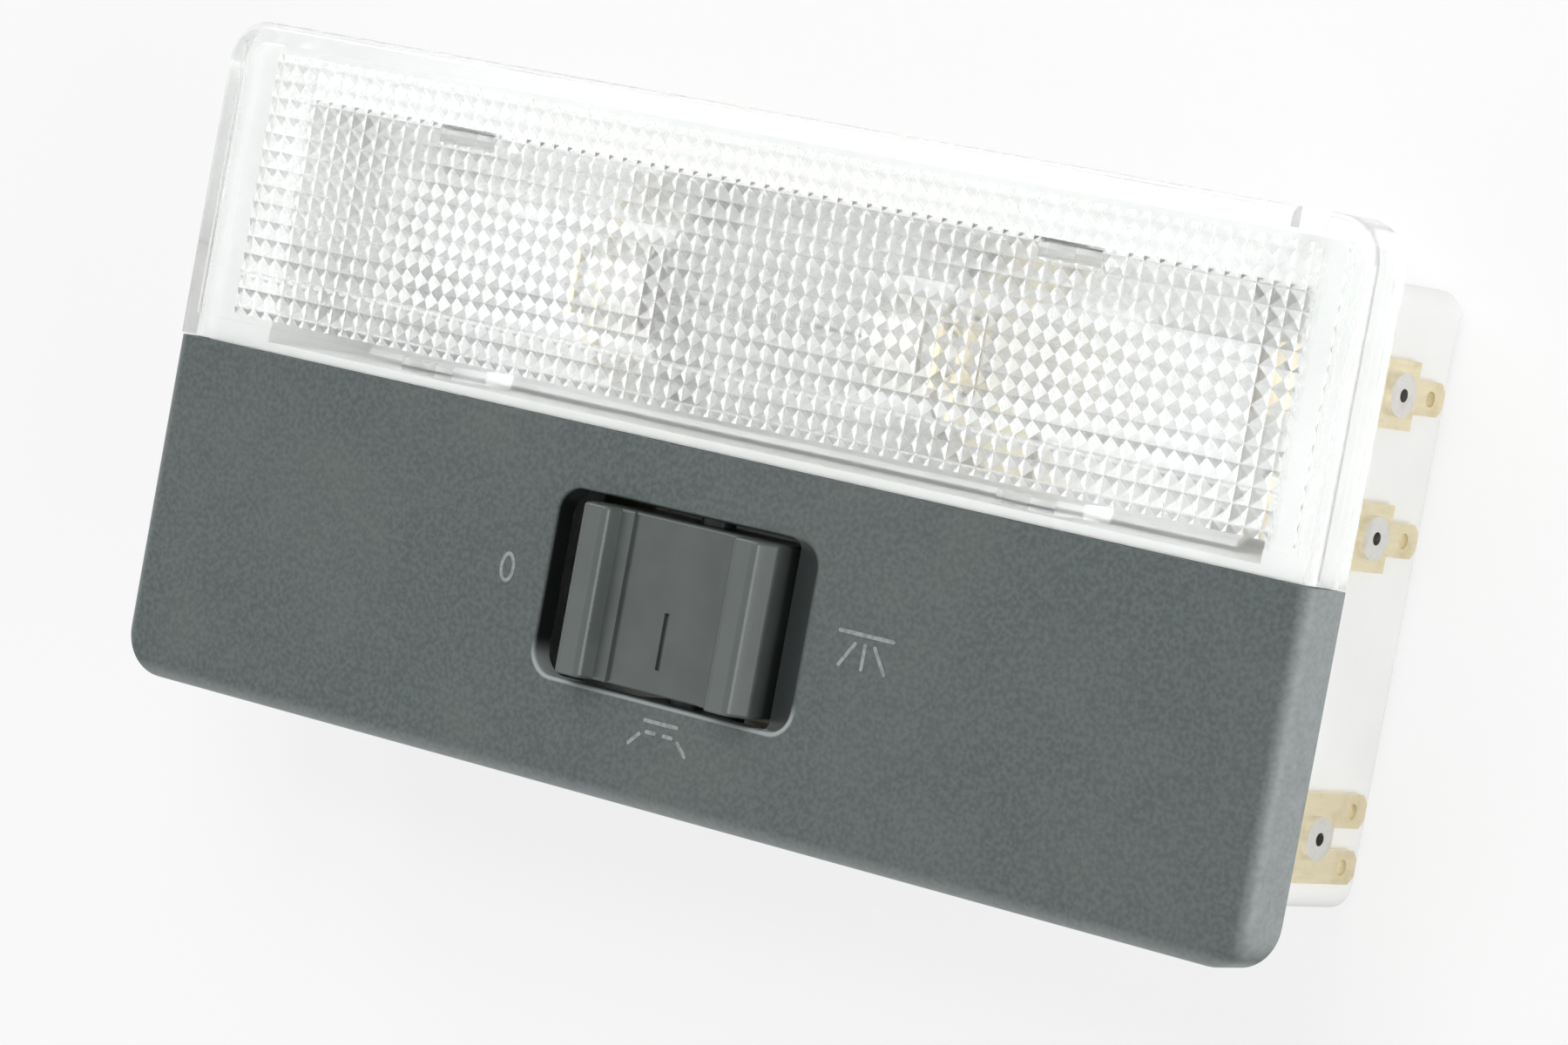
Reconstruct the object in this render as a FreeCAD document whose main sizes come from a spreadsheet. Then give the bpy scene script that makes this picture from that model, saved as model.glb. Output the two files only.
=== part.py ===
import FreeCAD, Part
import os
import Sketcher

# Car courtesy light: a white tray behind a grey switch plate and a clear prism lens.
# X runs along the lamp, Y from the plate to the lens, Z out of the face.
# The origin is the middle of the flange's seat on the roof trim.

SIZES = {
    # face outline
    "lamp_length": 125,
    "plate_width": 31,
    "lens_width": 29,
    "seam_gap": 0.2,
    "rim_height": 4.6,
    "skin_thickness": 2,
    "rim_wall": 1.8,
    "corner_radius": 4,
    "plate_edge_radius": 1.4,
    "lens_edge_radius": 1,
    # tray
    "housing_depth": 17,
    "housing_wall": 1.6,
    "flange_gap": 0.25,
    "skin_gap": 0.15,
    "terminal_inset": 4.6,
    "clip_inset": 8.5,
    "side_inset": 4.5,
    "tray_radius": 2,
    "tray_edge_radius": 1,
    # snap hooks of plate and lens
    "hook_width": 6,
    "hook_thickness": 1.2,
    "hook_length": 8,
    "hook_nose": 0.8,
    "hook_nose_height": 1.6,
    "hook_gap": 0.2,
    "plate_hook_x": 42,
    "lens_hook_x": 33,
    # lens
    "prism_pitch": 1.58,
    "prism_columns": 72,
    "prism_rows": 15,
    "prism_depth": 0.5,
    "border_inset": 2,
    "border_line_width": 0.6,
    "border_line_depth": 0.25,
    "notch_length": 3,
    "notch_depth": 1.7,
    "notch_height": 1.2,
    "notch_from_end": 6.9,
    # rocker window and rocker
    "window_offset": 1.9,
    "window_length": 28.6,
    "window_width": 16.2,
    "window_radius": 2.2,
    "window_inner_radius": 0.8,
    "window_edge_radius": 0.3,
    "ramp_length": 2.6,
    "ramp_depth": 0.7,
    "rocker_length": 21,
    "rocker_width": 14.8,
    "rocker_foot_inset": 0.9,
    "ridge_height": 2.7,
    "ridge_width": 3.5,
    "ridge_shoulder": 1,
    "ridge_end_drop": 2.1,
    "ridge_slope": 0.5,
    "dish_depth": 2,
    "ledge_width": 1.4,
    "ledge_height": 0.35,
    "rocker_skirt": 5.8,
    "rocker_wall": 1.6,
    "ridge_radius": 0.8,
    "rocker_edge_radius": 0.3,
    "pointer_width": 0.5,
    "pointer_length": 4.9,
    "pointer_depth": 0.3,
    "pointer_start": 0.4,
    "pivot_drop": 4,
    "pin_radius": 1.5,
    "pin_clearance": 0.05,
    "lug_gap": 0.1,
    "lug_thickness": 1.6,
    "lug_half_length": 4,
    "lug_drop": 3.2,
    # plunger and spring
    "bore_radius": 1.45,
    "stem_clearance": 0.05,
    "boss_radius": 2.8,
    "boss_end": 9,
    "bore_top": 2.2,
    "spring_length": 5,
    "spring_turns": 6,
    "spring_wire_radius": 0.18,
    "spring_play": 0.1,
    "bar_length": 10,
    "bar_radius": 0.9,
    "bar_gap": 0.1,
    # contact strips
    "strip_thickness": 0.5,
    "strip_width": 6,
    "rail_width": 3,
    "rail_half_length": 5,
    "pad_half_length": 1.2,
    "pad_gap": 0.7,
    "strip_play": 0.3,
    # bulb
    "bulb_length": 41,
    "bulb_radius": 5.5,
    "bulb_wall": 0.6,
    "cap_radius": 4.25,
    "cap_length": 6,
    "cap_wall": 0.4,
    "tip_length": 2.2,
    "tip_radius": 1.4,
    "tip_base_radius": 3,
    "glass_shoulder": 2,
    "glass_in_cap": 3,
    "glass_play": 0.05,
    "bulb_drop": 5,
    "leaf_hole_radius": 2,
    "leaf_gap": 0.05,
    "leaf_top": 3.4,
    "filament_radius": 0.35,
    "filament_length": 12,
    "lead_radius": 0.2,
    # reflector
    "reflector_end_gap": 4.4,
    "reflector_sheet": 0.5,
    "reflector_height": 7.2,
    "reflector_flat": 13,
    "reflector_side_gap": 0.4,
    "reflector_bend": 0.9,
    "post_height": 2,
    "post_size": 2.4,
    "post_room": 0.4,
    "slot_play": 0.5,
    # terminals
    "tab_thickness": 0.8,
    "tab_width": 2.8,
    "tab_tip": 15,
    "tab_chamfer": 0.7,
    "tab_hole_depth": 12.95,
    "tab_hole_radius": 0.65,
    "terminal_body_half": 2.8,
    "terminal_head": 3,
    "terminal_shoulder": 2.6,
    "rivet_depth": 8.2,
    "supply_offset": 3.85,
    "door_from_seam": 4.1,
    "ground_from_edge": 10.6,
    "twin_pitch": 4.6,
    # rivets
    "rivet_shank_radius": 1,
    "rivet_clearance": 0.05,
    "rivet_head_radius": 1.8,
    "rivet_head_height": 0.5,
    "rivet_bore_radius": 0.55,
    # retaining spring
    "clip_width": 16,
    "clip_rivet_pitch": 9,
    "clip_foot": 1.5,
    "clip_fold": 2,
    "clip_sheet": 0.6,
    "clip_bend": 0.4,
    "clip_base_top": 5,
    "clip_reach": 4.6,
    "clip_knee_depth": 5.6,
    "clip_end_depth": 2.4,
    "clip_end_reach": 2.4,
}

doc = FreeCAD.newDocument("courtesy_light")
dims = doc.addObject("Spreadsheet::Sheet", "dims")
for row, (alias, value) in enumerate(SIZES.items(), start=1):
    dims.set(f"A{row}", alias)
    dims.set(f"B{row}", str(value))
    dims.setAlias(f"B{row}", alias)
doc.recompute()


def size(formula):
    """The number that a formula over the sheet gives now."""
    return float(dims.evalExpression(formula))


# Places that several pieces share, as formulas over the sheet.
HALF_LENGTH = "(dims.lamp_length / 2)"
HALF_WIDTH = "((dims.plate_width + dims.lens_width) / 2)"
SEAM_Y = "((dims.plate_width - dims.lens_width) / 2)"
PLATE_EDGE = f"({SEAM_Y} - dims.seam_gap / 2)"
LENS_EDGE = f"({SEAM_Y} + dims.seam_gap / 2)"
WINDOW_Y = f"(({PLATE_EDGE} - {HALF_WIDTH}) / 2 + dims.window_offset)"
FRONT = "dims.rim_height"
UNDER = "(dims.rim_height - dims.skin_thickness)"
SEAT_TOP = f"({UNDER} - dims.skin_gap)"
TRAY_LEFT = f"(dims.clip_inset - {HALF_LENGTH})"
TRAY_RIGHT = f"({HALF_LENGTH} - dims.terminal_inset)"
TRAY_SIDE = f"({HALF_WIDTH} - dims.side_inset)"
WALL_INSIDE = f"({TRAY_SIDE} - dims.housing_wall)"
END_INSIDE = f"({TRAY_RIGHT} - dims.housing_wall)"
DIVIDER_LOW = f"({SEAM_Y} - dims.housing_wall / 2)"
DIVIDER_HIGH = f"({SEAM_Y} + dims.housing_wall / 2)"
BACK = "(0 - dims.housing_depth)"
FLOOR = "(dims.housing_wall - dims.housing_depth)"
STRIP_TOP = f"({FLOOR} + dims.strip_thickness)"
PIVOT_Z = "(dims.rim_height - dims.pivot_drop)"
BAR_Z = f"({STRIP_TOP} + dims.bar_gap + dims.bar_radius)"
LAMP_Y = f"(({DIVIDER_HIGH} + {WALL_INSIDE}) / 2)"
BULB_Z = "(0 - dims.bulb_drop)"
SUPPLY_Y = f"({LAMP_Y} + dims.supply_offset)"
DOOR_Y = f"({SEAM_Y} + dims.door_from_seam)"
GROUND_Y = f"(dims.ground_from_edge - {HALF_WIDTH})"
RIVET_Z = "(0 - dims.rivet_depth)"
TAB_FACE = f"({TRAY_RIGHT} + dims.tab_thickness)"
FRONT_INSIDE = "(dims.rim_height - dims.skin_thickness / 2)"
INNER_LEFT = f"({TRAY_LEFT} + dims.housing_wall)"
HALF_BULB = "(dims.bulb_length / 2)"
CAP_END = f"({HALF_BULB} - dims.tip_length)"
CAP_MOUTH = f"({CAP_END} - dims.cap_length)"
TIP_TAPER = "((dims.tip_base_radius - dims.leaf_hole_radius) / (dims.tip_base_radius - dims.tip_radius))"
LEAF_X = f"({CAP_END} + {TIP_TAPER} * dims.tip_length + dims.leaf_gap)"
COMMON_X = f"(0 - {LEAF_X} - dims.strip_width / 2)"
POST_X = f"({LEAF_X} + dims.strip_width + dims.post_room + dims.post_size / 2)"
CLIP_FOOT = "(dims.clip_foot - dims.housing_depth)"
CLIP_RIVET_Z = f"(({CLIP_FOOT} - dims.clip_base_top) / 2)"
CLIP_LOW = f"({SEAM_Y} - dims.clip_rivet_pitch / 2)"
CLIP_HIGH = f"({SEAM_Y} + dims.clip_rivet_pitch / 2)"
BAR_HIGH = f"({WINDOW_Y} + dims.bar_length / 2)"
BAR_LOW = f"({WINDOW_Y} - dims.bar_length / 2)"
ROCKER_TOP = "(dims.rim_height + dims.ridge_height)"
BORE_TOP = f"({PIVOT_Z} + dims.bore_top)"
STEM_TOP = f"({BORE_TOP} - dims.spring_length)"
REFLECTOR_Z = f"({FLOOR} + dims.post_height)"

PLANES = {"XY": "XY_Plane", "XZ": "XZ_Plane", "YZ": "YZ_Plane"}
# The XZ plane's normal points to -Y, so a start along Y counts backwards there.
NORMAL_SIGN = {"XY": 1, "XZ": -1, "YZ": 1}


def new_body(label):
    """An empty body that becomes one piece of the lamp."""
    body = doc.addObject("PartDesign::Body", label)
    body.Label = label
    return body


def new_sketch(body, name, plane, level):
    """A sketch on one of the body's own planes, lifted to a level along that plane's axis."""
    sketch = body.newObject("Sketcher::SketchObject", name)
    for feature in body.Origin.OriginFeatures:
        if feature.Role == PLANES[plane]:
            sketch.AttachmentSupport = [(feature, "")]
    sketch.MapMode = "FlatFace"
    sign = "" if NORMAL_SIGN[plane] > 0 else "0 - "
    sketch.setExpression("AttachmentOffset.Base.z", f"{sign}({level})")
    return sketch


def pin_point(sketch, line, formulas):
    """Ties the start of a line to a place given by two formulas."""
    for kind, formula in zip(("DistanceX", "DistanceY"), formulas):
        number = sketch.addConstraint(Sketcher.Constraint(kind, -1, 1, line, 1, size(formula)))
        sketch.setExpression(f"Constraints[{number}]", formula)


def add_loop(sketch, corners):
    """A closed loop of straight lines through corners given as pairs of formulas."""
    points = [FreeCAD.Vector(size(x), size(y), 0) for x, y in corners]
    first = sketch.GeometryCount
    for start, end in zip(points, points[1:] + points[:1]):
        sketch.addGeometry(Part.LineSegment(start, end))
    for step in range(len(points)):
        following = first + (step + 1) % len(points)
        sketch.addConstraint(Sketcher.Constraint("Coincident", first + step, 2, following, 1))
    for step, corner in enumerate(corners):
        pin_point(sketch, first + step, corner)


def add_circle(sketch, centre, radius):
    """A circle at a place and with a radius given by formulas."""
    middle = FreeCAD.Vector(size(centre[0]), size(centre[1]), 0)
    number = sketch.addGeometry(Part.Circle(middle, FreeCAD.Vector(0, 0, 1), size(radius)))
    for kind, formula in zip(("DistanceX", "DistanceY"), centre):
        tie = sketch.addConstraint(Sketcher.Constraint(kind, -1, 1, number, 3, size(formula)))
        sketch.setExpression(f"Constraints[{tie}]", formula)
    tie = sketch.addConstraint(Sketcher.Constraint("Radius", number, size(radius)))
    sketch.setExpression(f"Constraints[{tie}]", radius)


def sweep_sketch(body, name, kind, sketch, plane, start, end):
    """Pads or pockets a sketch from one level to another along its plane's axis."""
    before = 0 if body.Shape.isNull() else body.Shape.Volume
    feature = body.newObject(f"PartDesign::{kind}", name)
    feature.Profile = sketch
    feature.setExpression("Length", f"({end}) - ({start})")
    # A pad starts at the lower level and grows, a pocket starts at the upper one and sinks.
    feature.Reversed = NORMAL_SIGN[plane] < 0
    doc.recompute()
    changed = body.Shape.Volume - before
    if (changed > 0) != (kind == "Pad"):
        raise ValueError(f"{body.Label}.{name} did not change the solid as meant")
    return feature


def block(body, name, kind, plane, corners, start, end):
    """Pads or pockets a loop of corners between two levels."""
    level = start if kind == "Pad" else end
    sketch = new_sketch(body, name + "_outline", plane, level)
    add_loop(sketch, corners)
    return sweep_sketch(body, name, kind, sketch, plane, start, end)


def rounds(body, name, kind, centres, radius, plane, start, end):
    """Pads or pockets circles between two levels."""
    level = start if kind == "Pad" else end
    sketch = new_sketch(body, name + "_outline", plane, level)
    for centre in centres:
        add_circle(sketch, centre, radius)
    return sweep_sketch(body, name, kind, sketch, plane, start, end)


def rectangle(left, right, low, high):
    """Corners of a rectangle."""
    return [(left, low), (right, low), (right, high), (left, high)]


def soften(body, name, kind, radius, wanted):
    """Fillets or chamfers the edges of a body that a test picks."""
    tip = body.Tip
    names = [f"Edge{i}" for i, edge in enumerate(tip.Shape.Edges, start=1) if wanted(edge)]
    feature = body.newObject(f"PartDesign::{kind}", name)
    feature.Base = (tip, names)
    feature.setExpression("Radius" if kind == "Fillet" else "Size", radius)
    doc.recompute()
    return feature


NEAR = 1e-4


def same(number, formula):
    """Whether a measured number is what a formula gives."""
    return abs(number - size(formula)) < NEAR


def middle_of(edge):
    """The point halfway along an edge."""
    return edge.valueAt((edge.FirstParameter + edge.LastParameter) / 2)


def upright_at(places):
    """A test for straight edges along Z at given places."""

    def wanted(edge):
        direction = edge.tangentAt(edge.FirstParameter)
        spot = middle_of(edge)
        return abs(direction.z) > 1 - NEAR and any(same(spot.x, x) and same(spot.y, y) for x, y in places)

    return wanted


def level_edges(height, skip=None):
    """A test for edges that lie at a height, apart from those that another test picks."""

    def wanted(edge):
        box = edge.BoundBox
        level = same(box.ZMin, height) and same(box.ZMax, height)
        return level and not (skip and skip(middle_of(edge)))

    return wanted


def minus(formula):
    """The same place on the other side of the middle."""
    return f"(0 - {formula})"


def add_hooks(body, prefix, at_x, wall, towards):
    """Two snap hooks below the face that reach into slots of a wall, towards +Y or -Y."""
    sign = "+" if towards > 0 else "-"
    back = "-" if towards > 0 else "+"
    near = f"({wall} {back} dims.hook_gap)"
    far = f"({near} {back} dims.hook_thickness)"
    nose = f"({wall} {sign} dims.hook_nose)"
    tip = f"({UNDER} - dims.hook_length)"
    catch = f"({tip} + dims.hook_nose_height)"
    root = [(far, FRONT_INSIDE), (near, FRONT_INSIDE)]
    profile = root + [(near, catch), (nose, catch), (near, tip), (far, tip)]
    for side, place in (("left", minus(at_x)), ("right", at_x)):
        low = f"{place} - dims.hook_width / 2"
        high = f"{place} + dims.hook_width / 2"
        block(body, f"{prefix}_{side}", "Pad", "YZ", profile, low, high)


def add_slots(body, prefix, at_x, low, high):
    """Two slots through a wall of the tray that the snap hooks catch in."""
    bottom = f"({UNDER} - dims.hook_length - dims.hook_gap)"
    top = f"({UNDER} - dims.hook_length + dims.hook_nose_height + dims.hook_gap)"
    for side, place in (("left", minus(at_x)), ("right", at_x)):
        left = f"({place} - dims.hook_width / 2 - dims.hook_gap)"
        right = f"({place} + dims.hook_width / 2 + dims.hook_gap)"
        block(body, f"{prefix}_{side}", "Pocket", "XY", rectangle(left, right, low, high), bottom, top)


def make_housing():
    """White tray with a seat flange, a divider between lamp and switch, and end walls."""
    body = new_body("housing")
    tray = rectangle(TRAY_LEFT, TRAY_RIGHT, minus(TRAY_SIDE), TRAY_SIDE)
    block(body, "tray", "Pad", "XY", tray, BACK, SEAT_TOP)
    soften(body, "tray_corners", "Fillet", "dims.tray_radius", upright_at(tray))
    soften(body, "tray_edge", "Fillet", "dims.tray_edge_radius", level_edges(BACK))
    reach = f"({HALF_LENGTH} - dims.rim_wall - dims.flange_gap)"
    span = f"({HALF_WIDTH} - dims.rim_wall - dims.flange_gap)"
    flange = rectangle(minus(reach), reach, minus(span), span)
    block(body, "flange", "Pad", "XY", flange, "0", SEAT_TOP)
    soften(body, "flange_corners", "Fillet", "dims.corner_radius - dims.rim_wall", upright_at(flange))
    lamp_room = rectangle(INNER_LEFT, END_INSIDE, DIVIDER_HIGH, WALL_INSIDE)
    block(body, "lamp_room", "Pocket", "XY", lamp_room, FLOOR, SEAT_TOP)
    switch_room = rectangle(INNER_LEFT, END_INSIDE, minus(WALL_INSIDE), DIVIDER_LOW)
    block(body, "switch_room", "Pocket", "XY", switch_room, FLOOR, SEAT_TOP)
    # Posts that carry the reflector clear of the strips.
    offset = "(dims.reflector_flat / 2 - dims.post_size / 2)"
    for name, x in (("left", minus(POST_X)), ("right", POST_X)):
        for row, y in (("low", f"({LAMP_Y} - {offset})"), ("high", f"({LAMP_Y} + {offset})")):
            half = "dims.post_size / 2"
            outline = rectangle(f"{x} - {half}", f"{x} + {half}", f"{y} - {half}", f"{y} + {half}")
            block(body, f"post_{name}_{row}", "Pad", "XY", outline, FLOOR, f"{FLOOR} + dims.post_height")
    # Passages of the two strips that cross under the divider.
    passage_top = f"({STRIP_TOP} + dims.strip_play)"
    common_left = f"({COMMON_X} - dims.strip_width / 2 - dims.strip_play)"
    common_right = f"({COMMON_X} + dims.strip_width / 2 + dims.strip_play)"
    common_gate = rectangle(common_left, common_right, DIVIDER_LOW, DIVIDER_HIGH)
    block(body, "common_gate", "Pocket", "XY", common_gate, FLOOR, passage_top)
    door_left = f"({END_INSIDE} - dims.strip_width - dims.strip_play)"
    door_gate = rectangle(door_left, END_INSIDE, DIVIDER_LOW, DIVIDER_HIGH)
    block(body, "door_gate", "Pocket", "XY", door_gate, FLOOR, passage_top)
    # Slots of the snap hooks.
    add_slots(body, "plate_slot", "dims.plate_hook_x", minus(TRAY_SIDE), minus(WALL_INSIDE))
    add_slots(body, "plate_divider_slot", "dims.plate_hook_x", DIVIDER_LOW, DIVIDER_HIGH)
    add_slots(body, "lens_slot", "dims.lens_hook_x", WALL_INSIDE, TRAY_SIDE)
    add_slots(body, "lens_divider_slot", "dims.lens_hook_x", DIVIDER_LOW, DIVIDER_HIGH)
    # Rivet holes through both end walls.
    hole = "dims.rivet_shank_radius + dims.rivet_clearance"
    right = [(SUPPLY_Y, RIVET_Z), (DOOR_Y, RIVET_Z), (GROUND_Y, RIVET_Z)]
    rounds(body, "terminal_holes", "Pocket", right, hole, "YZ", END_INSIDE, TRAY_RIGHT)
    left = [(CLIP_LOW, CLIP_RIVET_Z), (CLIP_HIGH, CLIP_RIVET_Z)]
    rounds(body, "clip_holes", "Pocket", left, hole, "YZ", TRAY_LEFT, INNER_LEFT)
    return body


def make_cap_shell(label, edge, outer, edge_radius):
    """A shallow cap with three side walls, open towards the seam: the form of plate and lens."""
    body = new_body(label)
    outline = rectangle(minus(HALF_LENGTH), HALF_LENGTH, *sorted((edge, outer), key=size))
    block(body, "outline", "Pad", "XY", outline, "0", FRONT)
    outer_corners = [(minus(HALF_LENGTH), outer), (HALF_LENGTH, outer)]
    soften(body, "corners", "Fillet", "dims.corner_radius", upright_at(outer_corners))
    rim_edges = level_edges(FRONT, lambda spot: same(spot.y, edge))
    soften(body, "front_edge", "Fillet", edge_radius, rim_edges)
    towards_seam = 1 if size(edge) > size(outer) else -1
    inside = f"({outer} {'+' if towards_seam > 0 else '-'} dims.rim_wall)"
    past = f"({edge} {'+' if towards_seam > 0 else '-'} dims.rim_wall)"
    reach = f"({HALF_LENGTH} - dims.rim_wall)"
    cavity = rectangle(minus(reach), reach, *sorted((inside, past), key=size))
    block(body, "cavity", "Pocket", "XY", cavity, "0", UNDER)
    inner_corners = [(minus(reach), inside), (reach, inside)]
    soften(body, "cavity_corners", "Fillet", "dims.corner_radius - dims.rim_wall", upright_at(inner_corners))
    return body


def make_ramp(inner, outer, low, high):
    """The wedge that is cut from the plate at the window's right end, where a finger slides in."""
    body = new_body("ramp")
    foot = f"({FRONT} - dims.ramp_depth)"
    outline = rectangle(f"({inner} - dims.ramp_length)", outer, low, high)
    block(body, "outline", "Pad", "XY", outline, foot, f"{FRONT} + dims.ramp_depth")
    soften(body, "corners", "Fillet", "dims.window_radius", upright_at([(outer, low), (outer, high)]))
    under_slope = [(inner, foot), (outer, foot), (outer, FRONT)]
    block(body, "slope", "Pocket", "XZ", under_slope, low, high)
    return body


def make_face_plate():
    """Grey plate with the rocker's window, its bearing lugs and snap hooks."""
    body = make_cap_shell("plate_shell", PLATE_EDGE, minus(HALF_WIDTH), "dims.plate_edge_radius")
    half_long = "(dims.window_length / 2)"
    half_wide = "(dims.window_width / 2)"
    low = f"({WINDOW_Y} - {half_wide})"
    high = f"({WINDOW_Y} + {half_wide})"
    left = minus(half_long)
    right = f"({half_long} - dims.ramp_length)"
    block(body, "window", "Pocket", "XY", rectangle(left, right, low, high), UNDER, FRONT)
    soften(body, "window_corners", "Fillet", "dims.window_radius", upright_at([(left, low), (left, high)]))
    inner_corners = upright_at([(right, low), (right, high)])
    soften(body, "window_inner_corners", "Fillet", "dims.window_inner_radius", inner_corners)
    beyond = size(half_long) + NEAR
    rim_or_seam = lambda spot: abs(spot.x) > beyond or same(spot.y, PLATE_EDGE)
    soften(body, "window_edge", "Fillet", "dims.window_edge_radius", level_edges(FRONT, rim_or_seam))
    # Lugs with the bearings of the rocker's pins.
    lug_low = f"({PIVOT_Z} - dims.lug_drop)"
    lug = rectangle("0 - dims.lug_half_length", "dims.lug_half_length", lug_low, FRONT_INSIDE)
    inner_high = f"({high} + dims.lug_gap)"
    inner_low = f"({low} - dims.lug_gap)"
    block(body, "lug_high", "Pad", "XZ", lug, inner_high, f"{inner_high} + dims.lug_thickness")
    block(body, "lug_low", "Pad", "XZ", lug, f"{inner_low} - dims.lug_thickness", inner_low)
    bearing = "dims.pin_radius + dims.pin_clearance"
    first = f"{inner_low} - dims.lug_thickness"
    last = f"{inner_high} + dims.lug_thickness"
    rounds(body, "bearings", "Pocket", [("0", PIVOT_Z)], bearing, "XZ", first, last)
    add_hooks(body, "outer_hook", "dims.plate_hook_x", minus(WALL_INSIDE), -1)
    add_hooks(body, "divider_hook", "dims.plate_hook_x", DIVIDER_LOW, 1)
    return cut_from("face_plate", body, make_ramp(right, half_long, low, high))


def groove_comb(name, across, count, middle, run):
    """A comb of V ridges, made along X or Y, that cuts one set of grooves into the lens' inside."""
    pitch = size("dims.prism_pitch")
    under = size(UNDER)
    depth = size("dims.prism_depth")
    start = middle - count * pitch / 2
    profile = [(start, under - depth)]
    for step in range(count):
        profile.append((start + step * pitch, under))
        profile.append((start + (step + 0.5) * pitch, under + depth))
    profile.append((start + count * pitch, under))
    profile.append((start + count * pitch, under - depth))
    low, high = run
    if across == "X":
        points = [FreeCAD.Vector(place, low, height) for place, height in profile]
        sweep = FreeCAD.Vector(0, high - low, 0)
    else:
        points = [FreeCAD.Vector(low, place, height) for place, height in profile]
        sweep = FreeCAD.Vector(high - low, 0, 0)
    face = Part.Face(Part.makePolygon(points + points[:1]))
    comb = doc.addObject("Part::Feature", name)
    comb.Shape = face.extrude(sweep)
    return comb


def hook_roots():
    """Blocks around the lens' outer hooks, where the prism field leaves the skin plain."""
    blocks = []
    for side, sign in (("left", "0 -"), ("right", "0 +")):
        root = doc.addObject("Part::Box", f"hook_root_{side}")
        root.setExpression("Length", "dims.hook_width + 2 * dims.hook_gap")
        root.setExpression("Width", "dims.hook_thickness + 2 * dims.hook_gap")
        root.setExpression("Height", "4 * dims.prism_depth")
        half = "dims.hook_width / 2 - dims.hook_gap"
        root.setExpression(".Placement.Base.x", f"{sign} dims.lens_hook_x - {half}")
        root.setExpression(".Placement.Base.y", f"{WALL_INSIDE} - dims.hook_thickness - 2 * dims.hook_gap")
        root.setExpression(".Placement.Base.z", f"{UNDER} - 2 * dims.prism_depth")
        blocks.append(root)
    group = doc.addObject("Part::Compound", "hook_roots")
    group.Links = blocks
    return group


def cut_from(name, base, tool):
    """One solid less another."""
    result = doc.addObject("Part::Cut", name)
    result.Base = base
    result.Tool = tool
    doc.recompute()
    return result


def make_lens():
    """Clear cover with crossed prism grooves inside, a border line, a pry notch and snap hooks."""
    body = make_cap_shell("lens_shell", LENS_EDGE, HALF_WIDTH, "dims.lens_edge_radius")
    near = f"({LENS_EDGE} + dims.border_inset)"
    far = f"({HALF_WIDTH} - dims.border_inset)"
    reach = f"({HALF_LENGTH} - dims.border_inset)"
    line_low = f"({FRONT} - dims.border_line_depth)"
    sketch = new_sketch(body, "border_line_outline", "XY", FRONT)
    add_loop(sketch, rectangle(minus(reach), reach, near, far))
    step = "dims.border_line_width"
    inner = rectangle(f"{minus(reach)} + {step}", f"{reach} - {step}", f"{near} + {step}", f"{far} - {step}")
    add_loop(sketch, inner)
    sweep_sketch(body, "border_line", "Pocket", sketch, "XY", line_low, FRONT)
    notch_right = f"({HALF_LENGTH} - dims.notch_from_end + dims.notch_length / 2)"
    notch_left = f"({notch_right} - dims.notch_length)"
    notch_low = f"({HALF_WIDTH} - dims.notch_depth)"
    notch = rectangle(notch_left, notch_right, notch_low, f"{HALF_WIDTH} + dims.notch_depth")
    block(body, "pry_notch", "Pocket", "XY", notch, f"{FRONT} - dims.notch_height", FRONT)
    add_hooks(body, "outer_hook", "dims.lens_hook_x", WALL_INSIDE, 1)
    add_hooks(body, "divider_hook", "dims.lens_hook_x", DIVIDER_HIGH, -1)
    # The prism field lies in the middle of the lens, plain only at the roots of its hooks.
    columns = int(size("dims.prism_columns"))
    rows = int(size("dims.prism_rows"))
    pitch = size("dims.prism_pitch")
    field_y = (size(LENS_EDGE) + size(HALF_WIDTH)) / 2
    long_run = (-columns * pitch / 2, columns * pitch / 2)
    short_run = (field_y - rows * pitch / 2, field_y + rows * pitch / 2)
    roots = hook_roots()
    upright = groove_comb("upright_comb", "X", columns, 0, short_run)
    level = groove_comb("level_comb", "Y", rows, field_y, long_run)
    upright_cut = cut_from("upright_grooves", upright, roots)
    level_cut = cut_from("level_grooves", level, roots)
    fluted = cut_from("fluted_lens", body, upright_cut)
    return cut_from("lens", fluted, level_cut)


def along_x(edge):
    """Whether an edge is straight and runs along X."""
    return abs(edge.tangentAt(edge.FirstParameter).x) > 1 - NEAR


def along_y(edge):
    """Whether an edge is straight and runs along Y."""
    return abs(edge.tangentAt(edge.FirstParameter).y) > 1 - NEAR


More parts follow.
